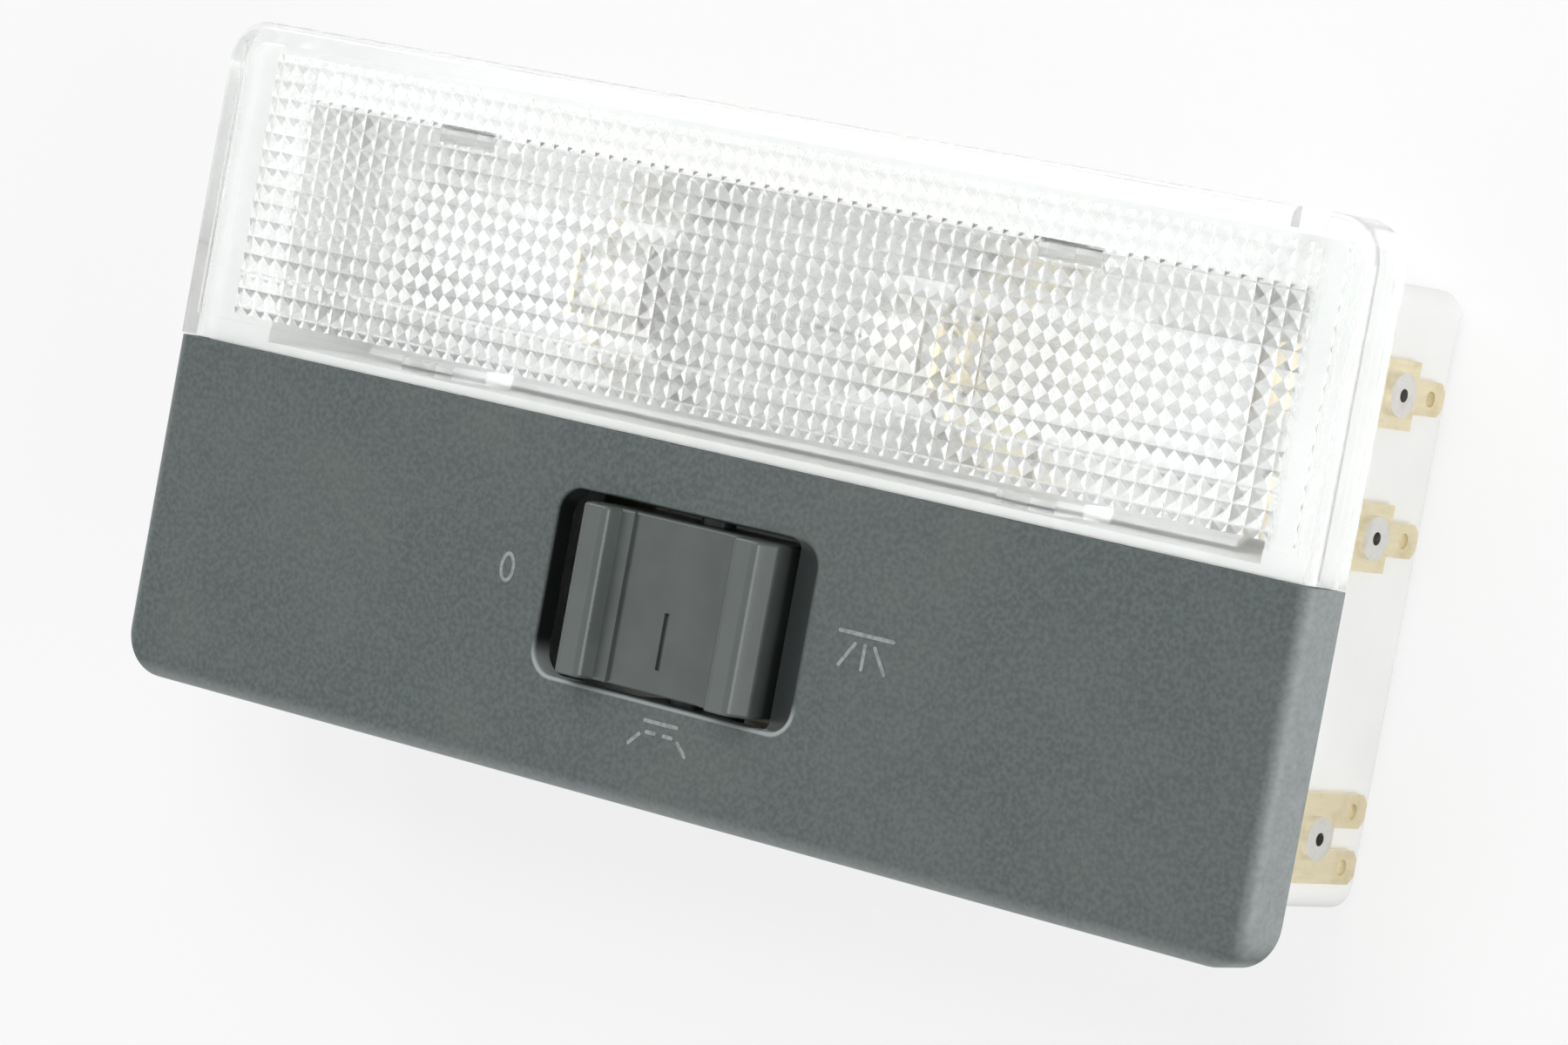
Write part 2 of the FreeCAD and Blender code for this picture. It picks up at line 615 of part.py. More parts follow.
def make_rocker():
    """Switch rocker: two finger ridges with a dish between, pivot pins and a bored boss below."""
    body = new_body("rocker")
    half = "(dims.rocker_length / 2)"
    foot = f"({half} - dims.rocker_foot_inset)"
    bottom = f"({FRONT} - dims.rocker_skirt)"
    end_height = f"({ROCKER_TOP} - dims.ridge_end_drop)"
    crown = f"({half} - dims.ridge_shoulder)"
    low = f"({WINDOW_Y} - dims.rocker_width / 2)"
    high = f"({WINDOW_Y} + dims.rocker_width / 2)"
    ridge_inside = f"({half} - dims.ridge_width)"
    ridge_foot = f"({ridge_inside} - dims.ridge_slope)"
    ledge_inside = f"({ridge_foot} - dims.ledge_width)"
    dish_floor = f"({ROCKER_TOP} - dims.dish_depth)"
    ledge = f"({dish_floor} + dims.ledge_height)"
    right_side = [
        (foot, bottom),
        (half, end_height),
        (crown, ROCKER_TOP),
        (ridge_inside, ROCKER_TOP),
        (ridge_foot, ledge),
        (ledge_inside, ledge),
        (ledge_inside, dish_floor),
    ]
    left_side = [(minus(x), z) for x, z in reversed(right_side)]
    block(body, "side_profile", "Pad", "XZ", right_side + left_side, low, high)
    shoulder = size(end_height) - NEAR

    def on_ridge(edge):
        spot = middle_of(edge)
        return along_y(edge) and spot.z > shoulder and abs(spot.x) > size(ridge_foot) + NEAR

    soften(body, "ridge_rounding", "Fillet", "dims.ridge_radius", on_ridge)
    sides = (size(low), size(high))

    def on_side_rim(edge):
        box = edge.BoundBox
        flat = box.YLength < NEAR and any(abs(box.YMin - side) < NEAR for side in sides)
        return flat and box.ZMax > shoulder

    soften(body, "rim_rounding", "Fillet", "dims.rocker_edge_radius", on_side_rim)
    roof = f"({dish_floor} - dims.rocker_wall)"
    inside = f"({foot} - dims.rocker_wall)"
    hollow = rectangle(minus(inside), inside, f"{low} + dims.rocker_wall", f"{high} - dims.rocker_wall")
    block(body, "hollow", "Pocket", "XY", hollow, bottom, roof)
    boss_low = f"({PIVOT_Z} - dims.boss_end)"
    centre = [("0", WINDOW_Y)]
    roof_inside = f"({roof} + dims.rocker_wall / 2)"
    rounds(body, "boss", "Pad", centre, "dims.boss_radius", "XY", boss_low, roof_inside)
    rounds(body, "bore", "Pocket", centre, "dims.bore_radius", "XY", boss_low, BORE_TOP)
    pin = "(dims.window_width / 2 + dims.lug_gap + dims.lug_thickness)"
    axis = [("0", PIVOT_Z)]
    pin_root = "dims.rocker_wall / 2"
    pin_high = f"({WINDOW_Y} + {pin})"
    pin_low = f"({WINDOW_Y} - {pin})"
    rounds(body, "pin_high", "Pad", axis, "dims.pin_radius", "XZ", f"{high} - {pin_root}", pin_high)
    rounds(body, "pin_low", "Pad", axis, "dims.pin_radius", "XZ", pin_low, f"{low} + {pin_root}")
    # Pointer line in the lower half of the dish.
    line_high = f"({WINDOW_Y} - dims.pointer_start)"
    line_low = f"({line_high} - dims.pointer_length)"
    half_line = "(dims.pointer_width / 2)"
    line = rectangle(minus(half_line), half_line, line_low, line_high)
    block(body, "pointer", "Pocket", "XY", line, f"{dish_floor} - dims.pointer_depth", ROCKER_TOP)
    return body


def make_contact_plunger():
    """Brass plunger: a stem that slides in the rocker's boss and a cross bar that wipes the strips."""
    body = new_body("contact_plunger")
    centre = [("0", WINDOW_Y)]
    rounds(body, "stem", "Pad", centre, "dims.bore_radius - dims.stem_clearance", "XY", BAR_Z, STEM_TOP)
    rounds(body, "cross_bar", "Pad", [("0", BAR_Z)], "dims.bar_radius", "XZ", BAR_LOW, BAR_HIGH)
    return body


def make_plunger_spring():
    """Coil spring between the plunger's stem and the end of the bore."""
    coil_radius = "(dims.bore_radius - dims.spring_play - dims.spring_wire_radius)"
    height = "(dims.spring_length - 2 * dims.spring_wire_radius)"
    start = f"{STEM_TOP} + dims.spring_wire_radius"
    helix = doc.addObject("Part::Helix", "spring_path")
    helix.setExpression("Radius", coil_radius)
    helix.setExpression("Height", height)
    helix.setExpression("Pitch", f"{height} / dims.spring_turns")
    helix.setExpression(".Placement.Base.y", WINDOW_Y)
    helix.setExpression(".Placement.Base.z", start)
    wire = doc.addObject("Part::Circle", "spring_wire")
    wire.setExpression("Radius", "dims.spring_wire_radius")
    wire.Placement = FreeCAD.Placement(FreeCAD.Vector(), FreeCAD.Rotation(FreeCAD.Vector(1, 0, 0), 90))
    wire.setExpression(".Placement.Base.x", coil_radius)
    wire.setExpression(".Placement.Base.y", WINDOW_Y)
    wire.setExpression(".Placement.Base.z", start)
    coil = doc.addObject("Part::Sweep", "plunger_spring")
    coil.Sections = [wire]
    coil.Spine = (helix, [])
    coil.Solid = True
    coil.Frenet = True
    doc.recompute()
    return coil


def turned(label, profile):
    """A piece of the bulb: a profile of length and radius turned about the bulb's axis."""
    body = new_body(label)
    sketch = new_sketch(body, "profile", "XZ", LAMP_Y)
    sketch.setExpression("AttachmentOffset.Base.y", BULB_Z)
    add_loop(sketch, profile)
    feature = body.newObject("PartDesign::Revolution", "turned_form")
    feature.Profile = sketch
    feature.ReferenceAxis = (sketch, ["H_Axis"])
    doc.recompute()
    return body


def make_bulb():
    """Clear tubular bulb: glass, two metal caps with conical tips, and the filament on its leads."""
    neck = "(dims.cap_radius - dims.cap_wall - dims.glass_play)"
    neck_bore = f"({neck} - dims.bulb_wall)"
    end = f"({CAP_MOUTH} + dims.glass_in_cap)"
    shoulder_out = f"({CAP_MOUTH} - dims.glass_play)"
    shoulder_in = f"({shoulder_out} - dims.glass_shoulder)"
    bore = "(dims.bulb_radius - dims.bulb_wall)"
    outside = [(end, neck), (shoulder_out, neck), (shoulder_in, "dims.bulb_radius")]
    inside = [(end, neck_bore), (shoulder_out, neck_bore), (shoulder_in, bore)]
    left_outside = [(minus(x), r) for x, r in reversed(outside)]
    left_inside = [(minus(x), r) for x, r in inside]
    glass = turned("bulb_glass", outside + left_outside + left_inside + list(reversed(inside)))
    cup = [
        (CAP_MOUTH, "dims.cap_radius"),
        (CAP_END, "dims.cap_radius"),
        (CAP_END, "dims.tip_base_radius"),
        (HALF_BULB, "dims.tip_radius"),
        (HALF_BULB, "0"),
        (f"{CAP_END} - dims.cap_wall", "0"),
        (f"{CAP_END} - dims.cap_wall", "dims.cap_radius - dims.cap_wall"),
        (CAP_MOUTH, "dims.cap_radius - dims.cap_wall"),
    ]
    right = turned("bulb_cap_right", cup)
    left = turned("bulb_cap_left", [(minus(f"({x})"), r) for x, r in cup])
    lead_end = f"({CAP_END} - dims.cap_wall)"
    coil_end = "(dims.filament_length / 2)"
    wire = [
        (minus(lead_end), "0"),
        (minus(lead_end), "dims.lead_radius"),
        (minus(coil_end), "dims.lead_radius"),
        (minus(coil_end), "dims.filament_radius"),
        (coil_end, "dims.filament_radius"),
        (coil_end, "dims.lead_radius"),
        (lead_end, "dims.lead_radius"),
        (lead_end, "0"),
    ]
    filament = turned("bulb_filament", wire)
    return [glass, left, right, filament]


def add_riser(body, y):
    """The end of a strip that stands against the tray's end wall and takes a rivet."""
    half = "dims.strip_width / 2"
    outline = rectangle(f"{y} - {half}", f"{y} + {half}", FLOOR, f"{RIVET_Z} + dims.terminal_head")
    inner = f"({END_INSIDE} - dims.strip_thickness)"
    block(body, "riser", "Pad", "YZ", outline, inner, END_INSIDE)
    hole = "dims.rivet_shank_radius + dims.rivet_clearance"
    rounds(body, "rivet_hole", "Pocket", [(y, RIVET_Z)], hole, "YZ", inner, END_INSIDE)


def add_leaf(body, start, end):
    """The upright leaf of a strip that carries one tip of the bulb in its hole."""
    half = "dims.strip_width / 2"
    outline = rectangle(f"{LAMP_Y} - {half}", f"{LAMP_Y} + {half}", FLOOR, f"{BULB_Z} + dims.leaf_top")
    block(body, "leaf", "Pad", "YZ", outline, start, end)
    rounds(body, "tip_hole", "Pocket", [(LAMP_Y, BULB_Z)], "dims.leaf_hole_radius", "YZ", start, end)


def make_supply_strip():
    """Right bulb contact: leaf, foot along the floor and riser to the supply rivet."""
    body = new_body("supply_strip")
    half = "dims.strip_width / 2"
    foot = [
        (LEAF_X, f"{LAMP_Y} - {half}"),
        (END_INSIDE, f"{SUPPLY_Y} - {half}"),
        (END_INSIDE, f"{SUPPLY_Y} + {half}"),
        (LEAF_X, f"{LAMP_Y} + {half}"),
    ]
    block(body, "foot", "Pad", "XY", foot, FLOOR, STRIP_TOP)
    add_leaf(body, LEAF_X, f"{LEAF_X} + dims.strip_thickness")
    add_riser(body, SUPPLY_Y)
    return body


def make_common_strip():
    """Left bulb contact, led under the divider to the switch as the rail that the bar always touches."""
    body = new_body("common_strip")
    right = minus(LEAF_X)
    left = f"({right} - dims.strip_width)"
    top = f"({LAMP_Y} + dims.strip_width / 2)"
    rail_low = f"({BAR_HIGH} - dims.rail_width)"
    foot = [
        (left, top),
        (left, rail_low),
        ("dims.rail_half_length", rail_low),
        ("dims.rail_half_length", BAR_HIGH),
        (right, BAR_HIGH),
        (right, top),
    ]
    block(body, "foot", "Pad", "XY", foot, FLOOR, STRIP_TOP)
    add_leaf(body, f"{right} - dims.strip_thickness", right)
    return body


def make_door_strip():
    """Switch contact that the bar touches in the middle position."""
    body = new_body("door_strip")
    half = "dims.strip_width / 2"
    inner = f"({END_INSIDE} - dims.strip_width)"
    run_high = f"({BAR_HIGH} - dims.rail_width - dims.pad_gap)"
    run_low = f"({run_high} - dims.rail_width)"
    pad = "dims.pad_half_length"
    foot = [
        (END_INSIDE, f"{DOOR_Y} + {half}"),
        (inner, f"{DOOR_Y} + {half}"),
        (inner, run_high),
        (minus(pad), run_high),
        (minus(pad), BAR_LOW),
        (pad, BAR_LOW),
        (pad, run_low),
        (END_INSIDE, run_low),
    ]
    block(body, "foot", "Pad", "XY", foot, FLOOR, STRIP_TOP)
    add_riser(body, DOOR_Y)
    return body


def make_ground_strip():
    """Switch contact that the bar touches when the rocker's right end is pressed."""
    body = new_body("ground_strip")
    run_low = f"({GROUND_Y} - dims.strip_width / 2)"
    run_high = f"({BAR_LOW} - dims.pad_gap)"
    pad_right = "(0 - dims.pad_half_length - dims.pad_gap)"
    pad_left = "(0 - dims.rail_half_length)"
    pad_high = f"({BAR_LOW} + dims.rail_width)"
    foot = [
        (END_INSIDE, run_low),
        (END_INSIDE, run_high),
        (pad_right, run_high),
        (pad_right, pad_high),
        (pad_left, pad_high),
        (pad_left, run_low),
    ]
    block(body, "foot", "Pad", "XY", foot, FLOOR, STRIP_TOP)
    add_riser(body, GROUND_Y)
    return body


def tab_points(y, shoulder):
    """Corners of one push-on tab, from its right shoulder round the tip to its left shoulder."""
    half = "dims.tab_width / 2"
    tip = "(0 - dims.tab_tip)"
    chamfer = "dims.tab_chamfer"
    return [
        (f"{y} + {half}", shoulder),
        (f"{y} + {half}", f"{tip} + {chamfer}"),
        (f"{y} + {half} - {chamfer}", tip),
        (f"{y} - {half} + {chamfer}", tip),
        (f"{y} - {half}", f"{tip} + {chamfer}"),
        (f"{y} - {half}", shoulder),
    ]


def make_terminal(label, y, tabs, half):
    """Flat brass terminal on the end wall, riveted at its head, with one or two push-on tabs."""
    body = new_body(label)
    top = f"({RIVET_Z} + dims.terminal_head)"
    shoulder = f"({RIVET_Z} - dims.terminal_shoulder)"
    low = f"({y} - {half})"
    high = f"({y} + {half})"
    outline = [(low, shoulder), (low, top), (high, top), (high, shoulder)]
    for tab in tabs:
        outline += tab_points(tab, shoulder)
    unique = [corner for i, corner in enumerate(outline) if not same_corner(corner, outline[i - 1])]
    block(body, "blank", "Pad", "YZ", unique, TRAY_RIGHT, TAB_FACE)
    hole = "dims.rivet_shank_radius + dims.rivet_clearance"
    rounds(body, "rivet_hole", "Pocket", [(y, RIVET_Z)], hole, "YZ", TRAY_RIGHT, TAB_FACE)
    holes = [(tab, "0 - dims.tab_hole_depth") for tab in tabs]
    rounds(body, "detent_holes", "Pocket", holes, "dims.tab_hole_radius", "YZ", TRAY_RIGHT, TAB_FACE)
    return body


def same_corner(one, other):
    """Whether two corners fall on the same place."""
    return all(abs(size(a) - size(b)) < NEAR for a, b in zip(one, other))


def rod(name, start, end, radius, y, z):
    """A cylinder along X between two places."""
    item = doc.addObject("Part::Cylinder", name)
    item.setExpression("Radius", radius)
    item.setExpression("Height", f"({end}) - ({start})")
    item.Placement = FreeCAD.Placement(FreeCAD.Vector(), FreeCAD.Rotation(FreeCAD.Vector(0, 1, 0), 90))
    item.setExpression(".Placement.Base.x", start)
    item.setExpression(".Placement.Base.y", y)
    item.setExpression(".Placement.Base.z", z)
    return item


def tubular_rivet(name, start, end, y, z):
    """A hollow rivet that clamps what lies between two places along X."""
    head = "dims.rivet_head_height"
    first = f"({start} - {head})"
    last = f"({end} + {head})"
    solid = doc.addObject("Part::MultiFuse", f"{name}_solid")
    solid.Shapes = [
        rod(f"{name}_shank", first, last, "dims.rivet_shank_radius", y, z),
        rod(f"{name}_head", end, last, "dims.rivet_head_radius", y, z),
        rod(f"{name}_tail", first, start, "dims.rivet_head_radius", y, z),
    ]
    bore = rod(f"{name}_bore", first, last, "dims.rivet_bore_radius", y, z)
    return cut_from(name, solid, bore)


def make_terminal_rivets():
    """The three rivets that join the terminals to the strips through the end wall."""
    inner = f"({END_INSIDE} - dims.strip_thickness)"
    places = {"supply": SUPPLY_Y, "door": DOOR_Y, "ground": GROUND_Y}
    group = doc.addObject("Part::Compound", "terminal_rivets")
    group.Links = [tubular_rivet(f"{name}_rivet", inner, TAB_FACE, y, RIVET_Z) for name, y in places.items()]
    doc.recompute()
    return group


def make_reflector():
    """Bent metal trough under the bulb, slotted for the two contact leaves."""
    body = new_body("reflector")
    left = f"({DIVIDER_HIGH} + dims.reflector_side_gap)"
    right = f"({WALL_INSIDE} - dims.reflector_side_gap)"
    top = f"({REFLECTOR_Z} + dims.reflector_height)"
    flat_left = f"({LAMP_Y} - dims.reflector_flat / 2)"
    flat_right = f"({LAMP_Y} + dims.reflector_flat / 2)"
    sheet = "dims.reflector_sheet"
    profile = [
        (left, top),
        (flat_left, REFLECTOR_Z),
        (flat_right, REFLECTOR_Z),
        (right, top),
        (f"{right} - {sheet}", top),
        (f"{flat_right} - {sheet} / 2", f"{REFLECTOR_Z} + {sheet}"),
        (f"{flat_left} + {sheet} / 2", f"{REFLECTOR_Z} + {sheet}"),
        (f"{left} + {sheet}", top),
    ]
    half = f"({minus(INNER_LEFT)} - dims.reflector_end_gap)"
    block(body, "trough", "Pad", "YZ", profile, f"0 - {half}", half)
    lip = size(top) - NEAR
    below_lip = lambda edge: along_x(edge) and middle_of(edge).z < lip
    soften(body, "bends", "Fillet", "dims.reflector_bend", below_lip)
    inner = f"({LEAF_X} - dims.slot_play)"
    outer = f"({LEAF_X} + dims.strip_thickness + dims.slot_play)"
    reach = "(dims.strip_width / 2 + dims.slot_play)"
    for side, near, far in (("right", inner, outer), ("left", minus(outer), minus(inner))):
        slot = rectangle(near, far, f"{LAMP_Y} - {reach}", f"{LAMP_Y} + {reach}")
        block(body, f"slot_{side}", "Pocket", "XY", slot, REFLECTOR_Z, f"{REFLECTOR_Z} + {sheet}")
    return body


def make_retaining_spring():
    """Folded steel leaf on the left end wall that grips the edge of the roof's cut-out."""
    body = new_body("retaining_spring")
    sheet = "dims.clip_sheet"
    base_top = "(0 - dims.clip_base_top)"
    fold = f"({TRAY_LEFT} - dims.clip_fold)"
    knee = f"({TRAY_LEFT} - dims.clip_reach)"
    end = f"({TRAY_LEFT} - dims.clip_end_reach)"
    knee_z = "(0 - dims.clip_knee_depth)"
    end_z = "(0 - dims.clip_end_depth)"
    profile = [
        (TRAY_LEFT, base_top),
        (TRAY_LEFT, CLIP_FOOT),
        (fold, CLIP_FOOT),
        (knee, knee_z),
        (end, end_z),
        (f"{end} + {sheet}", end_z),
        (f"{knee} + {sheet}", knee_z),
        (f"{fold} + {sheet}", f"{CLIP_FOOT} + {sheet}"),
        (f"{TRAY_LEFT} - {sheet}", f"{CLIP_FOOT} + {sheet}"),
        (f"{TRAY_LEFT} - {sheet}", base_top),
    ]
    half = "dims.clip_width / 2"
    block(body, "leaf", "Pad", "XZ", profile, f"{SEAM_Y} - {half}", f"{SEAM_Y} + {half}")
    free_end = size(base_top) - NEAR
    below_ends = lambda edge: along_y(edge) and middle_of(edge).z < free_end
    soften(body, "bends", "Fillet", "dims.clip_bend", below_ends)
    hole = "dims.rivet_shank_radius + dims.rivet_clearance"
    wall_face = f"({TRAY_LEFT} - {sheet})"
    holes = [(CLIP_LOW, CLIP_RIVET_Z), (CLIP_HIGH, CLIP_RIVET_Z)]
    rounds(body, "rivet_holes", "Pocket", holes, hole, "YZ", wall_face, TRAY_LEFT)
    return body


def make_spring_rivets():
    """The two rivets that hold the retaining spring on the left end wall."""
    face = f"({TRAY_LEFT} - dims.clip_sheet)"
    group = doc.addObject("Part::Compound", "spring_rivets")
    group.Links = [
        tubular_rivet("low_clip_rivet", face, INNER_LEFT, CLIP_LOW, CLIP_RIVET_Z),
        tubular_rivet("high_clip_rivet", face, INNER_LEFT, CLIP_HIGH, CLIP_RIVET_Z),
    ]
    doc.recompute()
    return group


TWIN_LOW = f"({GROUND_Y} - dims.twin_pitch / 2)"
TWIN_HIGH = f"({GROUND_Y} + dims.twin_pitch / 2)"
TWIN_HALF = "((dims.twin_pitch + dims.tab_width) / 2)"
PIECES = [
    make_housing(),
    make_face_plate(),
    make_lens(),
    make_rocker(),
    make_contact_plunger(),
    make_plunger_spring(),
    *make_bulb(),
    make_supply_strip(),
    make_common_strip(),
    make_door_strip(),
    make_ground_strip(),
    make_terminal("supply_terminal", SUPPLY_Y, [SUPPLY_Y], "dims.terminal_body_half"),
    make_terminal("door_terminal", DOOR_Y, [DOOR_Y], "dims.terminal_body_half"),
    make_terminal("ground_terminal", GROUND_Y, [TWIN_HIGH, TWIN_LOW], TWIN_HALF),
    make_terminal_rivets(),
    make_reflector(),
    make_retaining_spring(),
    make_spring_rivets(),
]

doc.recompute()
for item in doc.Objects:
    if "Invalid" in item.State or "Error" in item.State:
        raise ValueError(f"{item.Label} failed: {item.State}")
for piece in PIECES:
    if piece.Shape.isNull() or not piece.Shape.isValid():
        raise ValueError(f"{piece.Label} is not a valid solid")
os.makedirs("parts", exist_ok=True)
for piece in PIECES:
    piece.Shape.exportStep(f"parts/{piece.Label}.step")
    print(piece.Label, len(piece.Shape.Solids), len(piece.Shape.Faces), round(piece.Shape.Volume, 1))
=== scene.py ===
import math

import bpy
from bpy.props import FloatProperty, FloatVectorProperty, IntProperty, PointerProperty
from mathutils import Matrix, Vector


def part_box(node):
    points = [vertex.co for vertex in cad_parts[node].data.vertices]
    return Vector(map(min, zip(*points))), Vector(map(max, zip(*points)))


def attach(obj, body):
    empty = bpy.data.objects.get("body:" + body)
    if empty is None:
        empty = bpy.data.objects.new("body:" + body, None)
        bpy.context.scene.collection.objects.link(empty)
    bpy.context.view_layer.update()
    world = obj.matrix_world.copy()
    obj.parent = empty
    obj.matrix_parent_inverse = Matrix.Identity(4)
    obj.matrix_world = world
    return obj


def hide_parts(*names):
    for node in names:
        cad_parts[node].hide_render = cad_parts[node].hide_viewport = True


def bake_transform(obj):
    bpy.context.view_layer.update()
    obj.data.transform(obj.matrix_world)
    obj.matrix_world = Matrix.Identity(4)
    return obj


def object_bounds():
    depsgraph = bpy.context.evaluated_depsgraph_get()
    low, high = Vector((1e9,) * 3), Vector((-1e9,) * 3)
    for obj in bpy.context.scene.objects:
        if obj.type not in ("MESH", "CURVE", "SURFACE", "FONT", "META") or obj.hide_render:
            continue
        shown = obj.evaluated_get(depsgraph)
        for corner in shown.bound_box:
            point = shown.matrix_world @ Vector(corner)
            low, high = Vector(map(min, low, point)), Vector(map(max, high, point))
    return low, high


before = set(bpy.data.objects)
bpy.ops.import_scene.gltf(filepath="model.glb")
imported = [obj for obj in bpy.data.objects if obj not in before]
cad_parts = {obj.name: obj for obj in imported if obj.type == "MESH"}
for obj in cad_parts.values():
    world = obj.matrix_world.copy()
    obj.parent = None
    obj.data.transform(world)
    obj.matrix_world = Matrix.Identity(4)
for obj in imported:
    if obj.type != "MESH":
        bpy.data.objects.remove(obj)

bl_info = {
    "name": "Car courtesy light",
    "version": (1, 0, 0),
    "blender": (4, 5, 0),
    "location": "View3D > Sidebar > Courtesy light",
    "description": "Finishes, printed marks, bulb coil, plunger spring and stage of a car courtesy light",
    "category": "Object",
}

MM = 0.001
CAD_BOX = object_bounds()
PLATE_LOW, PLATE_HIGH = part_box("face_plate")
ROCKER_LOW, ROCKER_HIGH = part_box("rocker")
FILAMENT_LOW, FILAMENT_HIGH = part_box("bulb_filament")
BACK_Z = CAD_BOX[0].z
FLOOR_GAP = 0.05 * MM
FACE_Z = PLATE_HIGH.z

# The plate's window, smooth and with painted shade inside it, the painted highlight along the window's
# lower edge, and the painted highlight on the rim.
WINDOW_MIDDLE = (ROCKER_LOW + ROCKER_HIGH) / 2
WINDOW_HALF_LENGTH = 14.3 * MM
WINDOW_HALF_WIDTH = 8.1 * MM
WINDOW_RADIUS = 2.2 * MM
LIP_OFFSET = 0.12 * MM
LIP_CORE = 0.10 * MM
LIP_WIDTH = 0.32 * MM
LIP_FULL = 7 * MM
LIP_FADED = 5 * MM
BARE_SHADED_EDGE = 0.3 * MM
RIM_HIGHLIGHT_END = 1.6 * MM
RIM_HIGHLIGHT_SIDE = 1.5 * MM

# The lamp room in the tray, whose inside is lightened with painted light.
ROOM_HALF_LENGTH = 51 * MM
ROOM_HALF_WIDTH = 12 * MM
ROOM_MIDDLE_Y = 14 * MM
ROOM_EDGE = 1 * MM

# The plunger's spring, and the bulb's coil with its leads.
SPRING_PLAY = 0.03 * MM
HALF_COIL = 6 * MM
LEAD_RADIUS = 0.19 * MM
LEAD_OVERLAP = 0.2 * MM
CRIMP_LENGTH = 0.5 * MM
COIL_SIDES = 10
COIL_STEPS = 20

# Places of the printed marks round the window.
ZERO_AT = (-18.9 * MM, WINDOW_MIDDLE.y + 0.1 * MM)
LAMP_AT = (20.6 * MM, WINDOW_MIDDLE.y + 0.3 * MM)
DOOR_AT = (0.9 * MM, WINDOW_MIDDLE.y - 10.7 * MM)

# The nought's width is a share of its height.
ZERO_SHARE = 0.62

# The lamp mark: its bar's rise, and the rays' lean, spread and drop below the bar.
LAMP_BAR_RISE = 1.4 * MM
RAY_LEAN = 0.95
RAY_ROOT_SPREAD = 1.1 * MM
RAY_TIP_SPREAD = 2.5 * MM
RAY_ROOT_DROP = 0.85 * MM
RAY_TIP_DROP = 2.8 * MM

# The door mark: shares of half its roof line, and drops below that line.
DOOR_ROOF_RISE = 1.0 * MM
ROOF_SHARE = 0.7
SILL_INNER_SHARE = 0.22
SILL_OUTER_SHARE = 0.55
LEAF_ROOT_SHARE = 0.85
LEAF_TIP_SHARE = 1.25
SILL_DROP = 0.95 * MM
LEAF_ROOT_DROP = 1.25 * MM
LEAF_TIP_DROP = 2.2 * MM

# Colours of dust, tarnish and use, of the painted highlights, painted room light and painted lens glow,
# and of what has no setting.
CLOUD_GREY = (0.132, 0.146, 0.132)
# Painted highlights on the plate's rim and along the window's lower edge.
RIM_HIGHLIGHT_GREY = (0.46, 0.50, 0.50)
LIP_HIGHLIGHT_GREY = (0.42, 0.46, 0.46)
# Painted light inside the lamp room.
ROOM_PAINTED_LIGHT = (0.95, 0.955, 0.945)
WARM_CREAM = (0.94, 0.92, 0.85)
LENS_DUST = (0.93, 0.94, 0.92)
# Painted glow of the lens.
LENS_PAINTED_GLOW = (1.0, 1.0, 0.985)
GLASS_CLEAR = (0.98, 0.99, 0.98)
GLASS_GREY = (0.86, 0.86, 0.85)
TUNGSTEN = (0.30, 0.30, 0.31)
TUNGSTEN_DARK = (0.18, 0.18, 0.20)
BRASS_TARNISH = (0.64, 0.54, 0.32)
STEEL_TARNISH = (0.33, 0.31, 0.29)
RIVET_TARNISH = (0.50, 0.48, 0.44)
CAP_TARNISH = (0.66, 0.64, 0.58)
REFLECTOR_HAZE = (0.93, 0.93, 0.92)
WHITE = (1, 1, 1, 1)

# Scale of a metal's streaks along each axis: a small number draws them out.
STREAK_X = (0.12, 1.0, 1.0)
STREAK_LONG_X = (0.08, 1.0, 1.0)
STREAK_Y = (1.0, 0.12, 1.0)
STREAK_Z = (1.0, 1.0, 0.12)
NO_STREAK = (1.0, 1.0, 1.0)

# Each soft box: its name, place, width and power.
SOFT_BOXES = (
    ("key", (0.04, 0.46, 0.55), 0.55, 2.0),
    ("side", (0.70, -0.06, 0.20), 0.45, 2.1),
    ("fill", (-0.40, -0.30, 0.62), 0.50, 0.8),
    ("edge", (-0.42, 0.45, 0.32), 0.22, 0.6),
)

# The floor, the sky's plain light and the camera.
FLOOR_SIZE = 6
FLOOR_CLOUD = 0.4
FLOOR_LIFT = 0.70
PLAIN_LIGHT = 0.42
CAMERA_SPOT = (0.31678, 0.02694, 0.39772)
CAMERA_RIGHT = (0.7686, 0.1803, -0.6138)
CAMERA_LOOK = (-0.6141, -0.0607, -0.7869)
CAMERA_LENS = 138
CAMERA_SENSOR = 36
CAMERA_CLIP = 0.01


def colour_property(name, description, default):
    """A colour that a user may change."""
    return FloatVectorProperty(
        name=name, description=description, default=default, subtype="COLOR", size=3, min=0, max=1
    )


def length_property(name, description, default):
    """A length that a user may change."""
    return FloatProperty(name=name, description=description, default=default, unit="LENGTH", precision=5)


class CourtesyColours(bpy.types.PropertyGroup):
    """Colours of the lamp's finishes."""

    plate: colour_property("Plate", "Grained grey of the switch plate", (0.090, 0.111, 0.110))
    rocker: colour_property("Rocker", "Satin grey of the rocker", (0.074, 0.088, 0.082))
    housing: colour_property("Housing", "White of the tray", (0.87, 0.875, 0.865))
    lens: colour_property("Lens", "Tint of the clear lens", (0.985, 1.0, 0.995))
    brass: colour_property("Brass", "Terminals, strips and plunger", (0.92, 0.83, 0.60))
    steel: colour_property("Steel", "Springs", (0.50, 0.50, 0.49))
    nickel: colour_property("Nickel", "Bulb caps and rivets", (0.82, 0.81, 0.78))
    reflector: colour_property("Reflector", "Bright trough under the bulb", (0.95, 0.955, 0.955))
    mark: colour_property("Marks", "Pale ink of the switch marks", (0.31, 0.35, 0.34))
    floor: colour_property("Floor", "Pale floor", (0.93, 0.93, 0.93))


